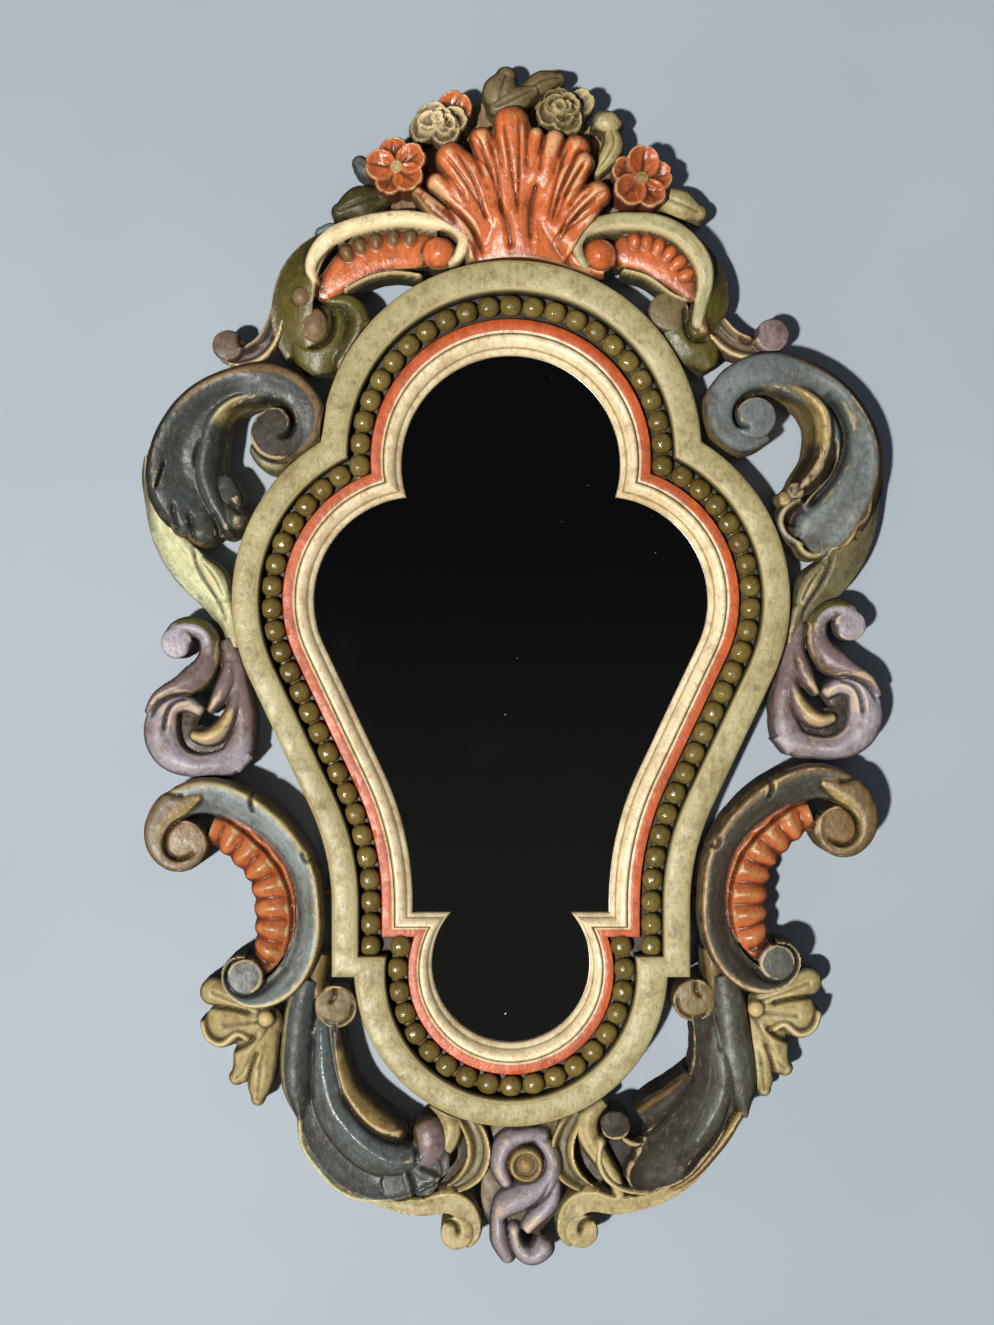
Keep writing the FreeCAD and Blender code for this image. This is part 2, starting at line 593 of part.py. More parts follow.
# Anchors on the outer edge of the ring, and how far each left piece was carved out of true
ANCHORS = {
    "notch": notch(RING_WIDTH),
    "lobe": (SIGHT_HALF_WIDTH + RING_WIDTH, LOBE_Z),
    "neck": (NECK_HALF_WIDTH + RING_WIDTH, NECK_Z),
    "step": step(RING_WIDTH),
    "foot": (0.0, FOOT_BOTTOM - RING_WIDTH),
    "apex": (0.0, APEX),
}
PAIRS = [
    ("shoulder_scroll", SHOULDER, "notch", (4, -6)),
    ("stem_leaf", STEM, "lobe", (2, 3)),
    ("lower_scroll", LOWER, "neck", (0, -9)),
    ("side_acanthus", ACANTHUS, "lobe", (3, -11)),
    ("hook_volute", HOOK, "step", (5, -4)),
    ("base_scroll", BASE, "step", (8, -3)),
    ("leaf_spray", SPRAY, "step", (0, -6)),
    ("base_rim", RIM, "foot", (10, -1)),
    ("pendant_curl", CURL, "foot", (12, 0)),
]


def mover(anchor, side=1, shift=(0, 0)):
    base_x, base_z = ANCHORS[anchor]

    def move(x, z):
        return side * (base_x + x) + shift[0], base_z + z + shift[1]

    return move


carvings = {"crest_shell": [form.placed(mover("apex")) for form in SHELL]}
carvings["pendant"] = [form.placed(mover("foot")) for form in PENDANT]
for name, forms in CREST_SPRIGS.items():
    carvings[name] = [form.placed(mover("apex")) for form in forms]
for name, left, right in (("crest_scroll", CREST_SCROLL_L, CREST_SCROLL_R),
                          ("crest_leaf", CREST_LEAF_L, CREST_LEAF_R), ("ear_curl", EAR_L, EAR_R)):
    carvings[name + "_l"] = [form.placed(mover("apex")) for form in left]
    carvings[name + "_r"] = [form.placed(mover("apex")) for form in right]
for name, forms, anchor, slip_left in PAIRS:
    carvings[name + "_r"] = [form.placed(mover(anchor)) for form in forms]
    carvings[name + "_l"] = [form.placed(mover(anchor, -1, slip_left)) for form in forms]

# Each carving gives way to the ring and to the pieces carved before it
ring_clearance = plate(RING_WIDTH + GLUE, -1, TALL)
taken = [ring_clearance]
for name, forms in carvings.items():
    solids = [form.solid() for form in forms]
    shape = solids[0].fuse(solids[1:]) if len(solids) > 1 else solids[0]
    near = [other for other in taken if other.BoundBox.intersect(shape.BoundBox)]
    shape = shape.cut(near + peg_holes)
    nodes[name] = max(shape.Solids, key=lambda solid: solid.Volume)
    taken += [form.clearance() for form in forms]

# Ground board of the crest under the shell and flowers, let in between the pieces of full depth
block_move = mover("apex")
block_curve = Part.BSplineCurve()
block_curve.interpolate([at(*block_move(x, z)) for x, z in BLOCK_EDGE], PeriodicFlag=True)
block = Part.Face(Part.Wire(block_curve.toShape())).extrude(FRONT * BLOCK_DEPTH)
full_depth = [other for other in taken if other.BoundBox.YMax > -BLOCK_DEPTH / 2]
near = [other for other in full_depth if other.BoundBox.intersect(block.BoundBox)]
block = block.cut(near + peg_holes)
nodes["crest_block"] = max(block.Solids, key=lambda solid: solid.Volume)

# The frame origin is the spot in the hanger loop where the nail bears
os.makedirs("parts", exist_ok=True)
for name, shape in nodes.items():
    shape.translate(Vector(0, -KNUCKLE_Y, -HANG_Z))
    shape.exportStep("parts/" + name + ".step")
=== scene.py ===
import math

import bpy
import numpy as np
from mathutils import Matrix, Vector
from mathutils.geometry import tessellate_polygon


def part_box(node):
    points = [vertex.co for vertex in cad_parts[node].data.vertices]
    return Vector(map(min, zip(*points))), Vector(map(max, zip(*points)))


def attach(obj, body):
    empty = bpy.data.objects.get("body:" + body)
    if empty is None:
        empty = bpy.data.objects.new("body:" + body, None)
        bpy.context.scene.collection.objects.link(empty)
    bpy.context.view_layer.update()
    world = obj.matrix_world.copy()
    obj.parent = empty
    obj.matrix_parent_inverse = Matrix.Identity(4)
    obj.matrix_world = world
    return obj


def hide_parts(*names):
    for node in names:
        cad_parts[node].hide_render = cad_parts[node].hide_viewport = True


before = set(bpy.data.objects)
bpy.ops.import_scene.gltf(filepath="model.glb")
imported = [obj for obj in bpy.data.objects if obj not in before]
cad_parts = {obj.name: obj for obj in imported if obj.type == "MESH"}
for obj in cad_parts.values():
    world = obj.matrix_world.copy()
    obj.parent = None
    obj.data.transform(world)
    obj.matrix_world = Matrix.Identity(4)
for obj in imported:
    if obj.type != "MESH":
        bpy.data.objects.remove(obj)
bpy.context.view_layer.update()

# Sizes in mm: x to the right, z up from the middle of the glass, depth from the flat back to the viewer
ARCH_TOP, ARCH_RADIUS, ARCH_RISE = 217.0, 69.0, 0.15
LOBE_X, LOBE_Z, LOBE_RADIUS = 58.75, 62.5, 65.5
NECK_HALF_WIDTH, NECK_RADIUS, NECK_Z, NECK_DROP = 62.0, 195.0, -128.0, 6.0
STEP_IN, STEP_DROP, TIP_SPREAD, FOOT_BOTTOM = 24.0, 0.775, 1.2, -216.0
RING_WIDTH, SHOULDER_JOINT = 50.0, 25.0
CREST_FLOOR = 12.1
MM = 0.001
SHARP_ANGLE = math.radians(50)

# Beads, and the reels between them
BEAD_LINE, BEAD_PITCH, BEAD_DEPTH = 26.0, 14.1, 19.0
BEAD_LENGTH, BEAD_WIDTH, BEAD_RISE, BEAD_BLUNT = 6.8, 6.5, 6.2, 0.86
REEL_LENGTH, REEL_WIDTH, REEL_RISE, REEL_DEPTH = 1.8, 4.0, 2.0, 15.6
BEAD_WRAP = 0.72 * math.pi
BEAD_TONE, BEAD_WEAR, BEAD_DIRT_AND_SHADE, BEAD_GLOSS = 0.3, 0.45, 0.9, 0.9

# Fineness of the carving, and how its forms run into each other
CELL, MARGIN = 0.75, 3.0
DRAFT, BLEND, EDGE_ROUND = 4.0, 0.5, 1.1
BACK_STEP, LEAST_DEPTH, GLUE = 0.05, 2.0, 0.2
NEAR_CELLS, FAR_CELLS = 2, 7
BAND_STEPS, GROOVE_STEPS = 150, 80

# Marks of hand carving: height and size of slow waves, tool marks, pits and wavering edges
WAVE_HEIGHT, WAVE_SIZE = 0.45, 21.0
MARK_HEIGHT, MARK_SIZE, MARK_SLANT = 0.13, 6.5, 0.6
PIT_HEIGHT, PIT_SIZE = 0.07, 2.3
EDGE_WAVER, EDGE_WAVER_SIZE = 0.30, 4.5
MOULDING_WAVER = 0.55

# Old paint, as sRGB values. The channel paint and the wall paint are darkened as painted shade in the bead
# channel and on side walls, and some pieces take lighter or darker copies of one paint as painted light and
# shade
PAINT = {
    "green": (182, 175, 130), "channel": (62, 52, 36), "orange": (200, 94, 45), "cream": (250, 234, 196),
    "slate": (100, 112, 114), "slate_dark": (84, 88, 82), "slate_blue": (128, 148, 160),
    "gold": (168, 147, 94), "tan": (134, 112, 82), "brown": (104, 84, 72), "umber": (74, 62, 48),
    "bronze": (124, 98, 58), "pale": (190, 190, 146), "lavender": (166, 161, 177),
    "mauve": (132, 116, 120), "olive": (96, 92, 36), "olive_dark": (76, 74, 38), "leaf": (126, 112, 78),
    "rose": (248, 232, 188), "ivory": (252, 238, 194), "sage": (136, 132, 98),
    "slate_light": (138, 151, 154), "mint": (230, 236, 192), "ochre": (126, 108, 66),
    "soot": (50, 45, 36), "slate_deep": (70, 78, 78), "steel": (92, 104, 106), "copper": (218, 118, 68),
    "copper_dark": (150, 70, 42), "bead": (120, 106, 56), "russet": (206, 110, 64),
    "straw": (184, 172, 122), "wall": (118, 101, 60),
}

# How far each paint has been polished by handling, where it differs from the rest
SHINE = {
    "copper": 1.2, "russet": 1.1, "copper_dark": 0.95, "olive": 0.8, "olive_dark": 0.7, "lavender": 0.55,
    "mauve": 0.75, "gold": 0.6, "bronze": 0.65, "tan": 0.6, "slate": 0.25, "slate_dark": 0.55,
    "umber": 0.55, "brown": 0.5, "steel": 1.3, "soot": -0.4, "slate_deep": 0.62,
}
SHINE_OF_OTHERS = 0.4


def linear(name):
    values = np.array(PAINT[name]) / 255.0
    return np.where(values <= 0.04045, values / 12.92, ((values + 0.055) / 1.055) ** 2.4)


def smoothstep(low, high, value):
    share = np.clip((value - low) / (high - low), 0.0, 1.0)
    return share * share * (3.0 - 2.0 * share)


# Outline of the ring at a distance d outwards from the sight edge
def polar(centre, radius, degrees):
    angle = np.radians(degrees)
    return np.stack([centre[0] + radius * np.cos(angle), centre[1] + radius * np.sin(angle)], -1)


def heading(start, end):
    return math.degrees(math.atan2(end[1] - start[1], end[0] - start[0]))


def arch(d):
    return (0.0, ARCH_TOP - ARCH_RADIUS + ARCH_RISE * d), ARCH_RADIUS + d


def notch(d):
    centre, radius = arch(d)
    span = math.dist(centre, (LOBE_X, LOBE_Z))
    along = (span ** 2 + radius ** 2 - (LOBE_RADIUS + d) ** 2) / (2 * span)
    turn = math.degrees(math.acos(along / radius))
    return polar(centre, radius, heading(centre, (LOBE_X, LOBE_Z)) + turn)


def step(d):
    return np.array([NECK_HALF_WIDTH + d, NECK_Z - NECK_DROP - STEP_DROP * d])


def tip(d):
    return np.array([NECK_HALF_WIDTH - STEP_IN + TIP_SPREAD * d, NECK_Z - NECK_DROP - STEP_DROP * d])


def foot(d):
    x, z = tip(d)
    bottom = FOOT_BOTTOM - d
    centre_z = (x * x + z * z - bottom * bottom) / (2 * (z - bottom))
    return (0.0, centre_z), centre_z - bottom


def arc(circle, start, end, count):
    return polar(circle[0], circle[1], np.linspace(start, end, count))


def straight(start, end, count):
    share = np.linspace(0.0, 1.0, count)[:, None]
    return np.asarray(start) * (1 - share) + np.asarray(end) * share


def right_runs(d):
    """Runs of the right half outline: arch, upper lobe, lower lobe with the neck, ledge, foot."""
    lobe = ((LOBE_X, LOBE_Z), LOBE_RADIUS + d)
    neck = ((NECK_HALF_WIDTH + NECK_RADIUS, NECK_Z), NECK_RADIUS - d)
    corner = notch(d)
    span = math.dist(lobe[0], neck[0])
    flank = heading(lobe[0], neck[0]) + math.degrees(math.acos((lobe[1] + neck[1]) / span))
    lean = 360 + flank if flank < -180 else flank
    low = polar(*lobe, lean)
    high = polar(*neck, lean + 180)
    middle = [
        arc(lobe, SHOULDER_JOINT, lean, 50),
        straight(low, high, 12),
        arc(neck, lean + 180, 180, 40),
        straight((neck[0][0] - neck[1], NECK_Z), step(d), 5),
    ]
    return [
        arc(arch(d), 90, heading(arch(d)[0], corner), 70),
        arc(lobe, heading(lobe[0], corner), SHOULDER_JOINT, 36),
        joined(middle),
        straight(step(d), tip(d), 9),
        arc(foot(d), heading(foot(d)[0], tip(d)), -90, 70),
    ]


def joined(runs):
    return np.concatenate([runs[0]] + [run[1:] for run in runs[1:]])


def mirrored(points):
    return points[::-1] * np.array([-1.0, 1.0])


def outline(d):
    half = joined(right_runs(d))
    return np.concatenate([half, mirrored(half)[1:-1]])


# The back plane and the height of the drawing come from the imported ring
APEX = sum(arch(RING_WIDTH)[0]) + arch(RING_WIDTH)[1]
ring_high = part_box("ring_top")[1]
BACK_Y = ring_high.y
DROP_Z = ring_high.z - APEX * MM


def placed(x, z, depth):
    return np.stack([x * MM, BACK_Y - depth * MM + 0.0 * x, z * MM + DROP_Z], -1)


def lattice(x, z, size, seed):
    """Smooth noise between -1 and 1 on a lattice of the given size in mm."""
    across, up = x / size, z / size
    column, row = np.floor(across), np.floor(up)
    across, up = smoothstep(0.0, 1.0, across - column), smoothstep(0.0, 1.0, up - row)

    def corner(i, j):
        mixed = np.sin(i * 127.1 + j * 311.7 + seed * 74.7) * 43758.5453
        return 2.0 * (mixed - np.floor(mixed)) - 1.0

    low = corner(column, row) * (1 - across) + corner(column + 1, row) * across
    high = corner(column, row + 1) * (1 - across) + corner(column + 1, row + 1) * across
    return low * (1 - up) + high * up


def unevenness(x, z):
    """Slow waves, tool marks and fine pits of hand carving, in mm."""
    waves = WAVE_HEIGHT * lattice(x, z, WAVE_SIZE, 1)
    marks = MARK_HEIGHT * lattice(x + MARK_SLANT * z, z, MARK_SIZE, 2)
    return waves + marks + PIT_HEIGHT * lattice(x, z, PIT_SIZE, 3)


# Making a mesh object with its paint and its wear, dirt and gloss stored on the points; the wear also
# paints a sheen on crests and the dirt also paints shade
def new_piece(name, points, faces, paint, age, material, replaced, body="frame"):
    mesh = bpy.data.meshes.new(name)
    mesh.from_pydata(points.tolist(), [], faces)
    for label, values in (("paint", paint), ("age", age)):
        attribute = mesh.color_attributes.new(label, "FLOAT_COLOR", "POINT")
        filled = np.concatenate([values, np.ones((len(values), 1))], 1)
        attribute.data.foreach_set("color", filled.astype(np.float32).ravel())
    mesh.shade_smooth()
    mesh.set_sharp_from_angle(angle=SHARP_ANGLE)
    mesh.materials.append(material)
    piece = bpy.data.objects.new(name, mesh)
    bpy.context.scene.collection.objects.link(piece)
    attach(piece, body)
    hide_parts(*replaced)


# Node materials
class Shader:
    """Small helper to build a node tree in few lines."""

    def __init__(self, name):
        self.material = bpy.data.materials.new(name)
        self.material.use_nodes = True
        self.tree = self.material.node_tree
        self.surface = self.tree.nodes["Principled BSDF"]

    def node(self, kind, **settings):
        made = self.tree.nodes.new(kind)
        for key, value in settings.items():
            setattr(made, key, value)
        return made

    def set(self, socket, value):
        if isinstance(value, bpy.types.NodeSocket):
            self.tree.links.new(value, socket)
        else:
            socket.default_value = value

    def feed(self, made, values):
        """Set inputs of a node, each from a value or from the output of another node."""
        for name, value in values.items():
            self.set(made.inputs[name], value)

    def noise(self, scale, detail, rough, stretch=None):
        place = self.node("ShaderNodeTexCoord").outputs["Object"]
        if stretch:
            mapping = self.node("ShaderNodeMapping")
            self.feed(mapping, {"Vector": place, "Scale": stretch})
            place = mapping.outputs["Vector"]
        made = self.node("ShaderNodeTexNoise")
        self.feed(made, {"Vector": place, "Scale": scale, "Detail": detail, "Roughness": rough})
        return made.outputs["Fac"]

    def ramp(self, value, low, high, out_low=0.0, out_high=1.0):
        made = self.node("ShaderNodeMapRange", interpolation_type="SMOOTHSTEP")
        self.feed(made, {"Value": value, "From Min": low, "From Max": high})
        self.feed(made, {"To Min": out_low, "To Max": out_high})
        return made.outputs["Result"]

    def maths(self, operation, first, second):
        made = self.node("ShaderNodeMath", operation=operation)
        self.feed(made, {0: first, 1: second})
        return made.outputs["Value"]

    def sum(self, first, first_share, second, second_share):
        first = self.maths("MULTIPLY", first, first_share)
        return self.maths("ADD", first, self.maths("MULTIPLY", second, second_share))

    def mix(self, amount, first, second, blend="MIX"):
        made = self.node("ShaderNodeMix", data_type="RGBA", blend_type=blend)
        self.feed(made, {"Factor": amount, 6: first, 7: second})
        return made.outputs[2]

    def attribute(self, name):
        return self.node("ShaderNodeAttribute", attribute_name=name).outputs["Color"]

    def show(self, shader):
        self.feed(self.tree.nodes["Material Output"], {"Surface": shader.outputs[0]})

    def look(self, **values):
        """Set inputs of the surface, with an underscore for each space in a name."""
        self.feed(self.surface, {name.replace("_", " "): value for name, value in values.items()})

    def bump(self, height, strength, distance):
        made = self.node("ShaderNodeBump")
        self.feed(made, {"Height": height, "Strength": strength, "Distance": distance})
        self.look(Normal=made.outputs["Normal"])


# Tones of old paint, as linear colour; the gold leaf also paints a sheen, the chalk tone paints small
# highlights and the grime tone also paints shade
DRIFT_GLAZE = (0.60, 0.49, 0.34, 1.0)
PATCH_GLAZE = (0.52, 0.41, 0.26, 1.0)
FINE_GLAZE = (0.50, 0.40, 0.28, 1.0)
GOLD_LEAF_AND_SHEEN = (0.78, 0.60, 0.32, 1.0)
OLD_GOLD = (0.50, 0.34, 0.14, 1.0)
PALE_HIGHLIGHT = (0.80, 0.72, 0.52, 1.0)
BARE_WOOD = (0.060, 0.044, 0.028, 1.0)
SPECK_TONE = (0.05, 0.038, 0.024, 1.0)
GRIME_AND_SHADE_TONE = (0.018, 0.013, 0.008, 1.0)
POLISH = 0.26
PIT_STRENGTH, PIT_DISTANCE = 0.60, 0.0015


def old_paint(name, roughness, rub):
    """Old paint: uneven tone, brown glaze, chips, specks, rubbed gilt on edges that also paints a sheen on
    crests, small painted highlights, and dirt in the hollows that also paints shade there.
    """
    make = Shader(name)
    split = make.node("ShaderNodeSeparateColor")
    make.set(split.inputs["Color"], make.attribute("age"))
    wear, dirt_and_shade, gloss = split.outputs
    drift = make.noise(24.0, 5.0, 0.58)
    mottle = make.noise(85.0, 6.0, 0.70)
    fine = make.noise(380.0, 4.0, 0.65, (1.0, 1.0, 0.55))
    speck = make.noise(1100.0, 2.0, 0.5)
    chip = make.noise(120.0, 6.0, 0.72)
    paint = make.attribute("paint")
    # Gold on worn edges and crests: rubbed gilt, brightened, which is also a painted sheen
    gilt_and_sheen = make.mix(0.62, paint, GOLD_LEAF_AND_SHEEN)
    glint = make.mix(0.16, paint, OLD_GOLD)
    # Small pale flecks in the fine texture: painted highlights
    pale = make.mix(0.14, paint, PALE_HIGHLIGHT)
    broken = make.maths("SUBTRACT", make.sum(mottle, 1.2, fine, 0.9), 1.05)
    layers = [
        (drift, 0.38, 0.70, 0.60, DRIFT_GLAZE, "MULTIPLY"),
        (mottle, 0.44, 0.68, 0.70, PATCH_GLAZE, "MULTIPLY"),
        (fine, 0.50, 0.68, 0.50, FINE_GLAZE, "MULTIPLY"),
        (chip, 0.42, 0.34, 0.60 * rub, BARE_WOOD, "MIX"),
        (chip, 0.58, 0.68, 0.50 * rub, glint, "MIX"),
        (fine, 0.42, 0.34, 0.55 * rub, pale, "MIX"),
        (fine, 0.46, 0.30, 0.40, glint, "MIX"),
        (speck, 0.62, 0.72, 0.40, SPECK_TONE, "MIX"),
        (make.maths("ADD", wear, broken), 0.58, 0.88, rub, gilt_and_sheen, "MIX"),
    ]
    colour = paint
    for pattern, low, high, most, tone, blend in layers:
        colour = make.mix(make.ramp(pattern, low, high, 0.0, most), colour, tone, blend)
    # Darkening by the dirt value: real dirt, and painted shade in hollows, beside the ring and on the walls
    grime_and_shade = make.maths("MULTIPLY", dirt_and_shade, make.ramp(mottle, 0.30, 0.65, 1.0, 0.75))
    rough = make.ramp(mottle, 0.35, 0.65, roughness - 0.08, roughness + 0.12)
    polished = make.maths("SUBTRACT", rough, make.maths("MULTIPLY", gloss, POLISH))
    make.look(Base_Color=make.mix(grime_and_shade, colour, GRIME_AND_SHADE_TONE), Roughness=polished)
    make.bump(make.sum(mottle, 0.75, fine, 0.25), PIT_STRENGTH, PIT_DISTANCE)
    return make.material


CARVED = old_paint("carved_paint", 0.58, 0.85)
RAIL = old_paint("rail_paint", 0.48, 0.6)
LIP = old_paint("lip_gilt", 0.40, 0.25)
BEADS = old_paint("bead_paint", 0.40, 0.6)


# Sweeping one section along runs of the ring's outline
def sweep(node, section, line_at, material):
    """Mesh from rows of points: one row along the outline for each corner of the section."""
    rows = []
    for d, depth, *_ in section:
        line = line_at(d)
        lift = MOULDING_WAVER * unevenness(line[:, 0], line[:, 1]) if depth > 1 else 0.0
        rows.append(placed(line[:, 0], line[:, 1], depth + lift))
    count = len(rows[0])
    total = len(rows)
    faces = []
    for row in range(total):
        below = ((row + 1) % total) * count
        for column in range(count - 1):
            first = row * count + column
            faces.append((first, below + column, below + column + 1, first + 1))
    faces.append([row * count for row in range(total)][::-1])
    faces.append([row * count + count - 1 for row in range(total)])
    paint = np.repeat(np.array([linear(row[2]) for row in section]), count, axis=0)
    age = np.repeat(np.array([row[3:] for row in section], float), count, axis=0)
    new_piece(node + "_carved", np.concatenate(rows), faces, paint, age, material, [node])


def ring_spans(d, first, last):
    """The four stretches of the outline, parted before the runs with the numbers first and last."""
    runs = right_runs(d)
    upper = joined(runs[:first])
    flank = joined(runs[first:last])
    lower = joined(runs[last:])
    return {
        "top": np.concatenate([mirrored(upper)[:-1], upper]),
        "right": flank,
        "left": mirrored(flank),
        "bottom": np.concatenate([lower[:-1], mirrored(lower)]),
    }


# Each corner of a section: distance from the sight edge, depth, paint, wear, dirt, gloss. Where the dirt is
# high, in the bead channel, on the walls and on the step down to the glass, it is also painted shade, and
# the dark channel paint is painted shade in the channel and on the inner wall
RING_SECTION = [
    (50.0, 0.0, "brown", 0.0, 0.5, 0.0), (50.0, 14.0, "green", 0.0, 0.45, 0.0),
    (50.0, 23.5, "green", 0.1, 0.2, 0.0), (49.7, 27.2, "green", 0.4, 0.1, 0.3),
    (48.8, 29.0, "green", 0.7, 0.0, 0.3), (47.0, 29.8, "green", 0.3, 0.0, 0.2),
    (42.0, 30.0, "green", 0.0, 0.0, 0.2), (36.0, 29.8, "green", 0.2, 0.0, 0.2),
    (34.2, 29.2, "green", 0.9, 0.0, 0.3), (33.2, 27.8, "green", 0.6, 0.2, 0.3),
    (32.9, 25.0, "green", 0.0, 0.6, 0.0), (32.8, 18.0, "channel", 0.0, 0.8, 0.0),
    (32.2, 15.4, "channel", 0.0, 0.9, 0.0), (26.0, 15.0, "channel", 0.0, 0.8, 0.0),
    (20.0, 15.2, "channel", 0.0, 0.85, 0.0), (19.3, 16.6, "channel", 0.0, 0.8, 0.0),
    (19.1, 18.8, "orange", 0.1, 0.35, 0.2), (18.5, 19.8, "orange", 0.35, 0.0, 0.3),
    (15.6, 20.2, "orange", 0.0, 0.0, 0.4), (13.0, 20.1, "orange", 0.0, 0.0, 0.3),
    (12.4, 20.0, "cream", 0.0, 0.1, 0.2), (11.4, 19.6, "cream", 0.0, 0.25, 0.0),
    (11.1, 17.5, "channel", 0.0, 0.9, 0.0), (11.1, 0.0, "brown", 0.0, 0.6, 0.0),
]
SLIP_SECTION = [
    (0.0, 12.1, "cream", 0.0, 0.7, 0.0), (0.0, 14.0, "cream", 0.3, 0.2, 0.2),
    (0.9, 15.2, "cream", 0.8, 0.0, 0.4), (2.6, 16.6, "cream", 0.4, 0.0, 0.4),
    (3.6, 17.0, "straw", 0.0, 0.3, 0.0), (4.2, 18.6, "cream", 0.6, 0.0, 0.4),
    (5.6, 20.6, "cream", 0.9, 0.0, 0.4), (7.6, 21.8, "cream", 0.5, 0.0, 0.4),
    (9.4, 22.0, "cream", 0.1, 0.0, 0.3), (10.5, 21.5, "straw", 0.0, 0.2, 0.1),
    (10.9, 20.4, "gold", 0.0, 0.6, 0.0), (10.9, 12.1, "brown", 0.0, 0.8, 0.0),
]
SWEPT = [("ring", RING_SECTION, RAIL, 2, 4), ("slip", SLIP_SECTION, LIP, 1, 4)]
for label, section, material, first, last in SWEPT:
    for side in ("top", "right", "bottom", "left"):
        sweep(label + "_" + side, section, lambda d: ring_spans(d, first, last)[side], material)


# Bead course: worn turned beads with a reel between neighbours
def even_points(line, pitch):
    """Points at an even pitch along a line, and the way of the line at each."""
    lengths = np.concatenate([[0.0], np.cumsum(np.linalg.norm(np.diff(line, axis=0), axis=1))])
    count = max(2, round(lengths[-1] / pitch))
    marks = np.linspace(0.0, lengths[-1], count + 1)

    def at(places):
        return np.stack([np.interp(places, lengths, line[:, axis]) for axis in (0, 1)], 1)

    way = at(marks + 0.5) - at(marks - 0.5)
    return at(marks), way / np.linalg.norm(way, axis=1)[:, None]


BALL_RINGS, BALL_SIDES = 14, 26


def ball(centre, way, depth, along, across, rise, blunt):
    """Rounded bead, blunt at its two ends, with its lower part left off in the channel."""
    tilt = np.linspace(0.0, BEAD_WRAP, BALL_RINGS)[:, None]
    turn = np.linspace(0.0, 2 * math.pi, BALL_SIDES, endpoint=False)[None, :]

    def power(value):
        return np.sign(value) * np.abs(value) ** blunt

    u = along * power(np.sin(tilt) * np.cos(turn))
    v = across * power(np.sin(tilt) * np.sin(turn))
    h = depth + rise * np.cos(tilt) + 0.0 * turn
    x = centre[0] + u * way[0] - v * way[1]
    z = centre[1] + u * way[1] + v * way[0]
    points = placed(x.ravel(), z.ravel(), h.ravel())
    faces = []
    for row in range(BALL_RINGS - 1):
        for column in range(BALL_SIDES):
            after = (column + 1) % BALL_SIDES
            first, second = row * BALL_SIDES + column, row * BALL_SIDES + after
            if row == 0:
                faces.append((first + BALL_SIDES, second + BALL_SIDES, first))
            else:
                faces.append((first + BALL_SIDES, second + BALL_SIDES, second, first))
    low = np.clip(tilt / BEAD_WRAP + 0.0 * turn, 0, 1).ravel()
    return points, faces, low


def bead_course():
    """All beads and reels as one piece."""
    bead_spots = []
    runs = right_runs(BEAD_LINE)
    for number, line in enumerate((runs[0], joined(runs[1:3]), runs[4])):
        spots, ways = even_points(line, BEAD_PITCH)
        for flip in (1, -1):
            first = 0 if number == 2 or (number == 0 and flip == 1) else 1
            last = len(spots) - 1 if number == 2 and flip == -1 else len(spots)
            for index in range(first, last):
                bead_spots.append((spots[index] * (flip, 1), ways[index] * (flip, 1)))
    points, faces, lows, tones = [], [], [], []
    start = 0
    for number, (spot, way) in enumerate(bead_spots):
        vary = math.sin(number * 12.9898) * 0.5
        length, width, rise = BEAD_LENGTH + 0.2 * vary, BEAD_WIDTH - 0.15 * vary, BEAD_RISE + 0.3 * vary
        bead = (spot, BEAD_DEPTH, length, width, rise, BEAD_BLUNT)
        reel = (spot + way * BEAD_PITCH / 2, REEL_DEPTH, REEL_LENGTH, REEL_WIDTH, REEL_RISE, 1.0)
        for form, tone in ((bead, vary), (reel, -0.5)):
            centre, *sizes = form
            made, sides, low = ball(centre, way, *sizes)
            points.append(made)
            faces += [tuple(corner + start for corner in face) for face in sides]
            start += len(made)
            lows.append(low)
            tones.append(np.full(len(made), tone))
    low, tone = np.concatenate(lows), np.concatenate(tones)
    paint = linear("bead") * (1.0 + BEAD_TONE * tone[:, None])
    # Bead tops rubbed; the lower part of each bead, down in the channel, darkened as dirt and painted shade
    wear, dirt_and_shade = BEAD_WEAR * smoothstep(0.42, 0.0, low), BEAD_DIRT_AND_SHADE * smoothstep(0.45, 1.0, low)
    age = np.stack([wear, dirt_and_shade, np.full(len(low), BEAD_GLOSS)], 1)
    new_piece("beads_turned", np.concatenate(points), faces, paint, age, BEADS, ["bead_course"])


bead_course()


# Cross sections of a band as a share of its depth: u from -1 to 1 across it, s from 0 to 1 along it
def crown(u, s):
    return 1.0 - 0.30 * np.abs(u) ** 2.2


def lobe(u, s):
    return 1.0 - 0.15 * u ** 2 - 0.05 * u ** 8


def cavetto(u, s):
    a = np.abs(u)
    return 0.78 + 0.22 * smoothstep(0.25, 0.86, a) - 0.08 * smoothstep(0.9, 1.0, a)


def plateau(u, s):
    return 1.0 - 0.08 * np.abs(u) ** 3


def leaf(u, s):
    a = np.abs(u)
    return 1.0 - 0.20 * a ** 2.2 - 0.05 * np.exp(-(a / 0.12) ** 2)


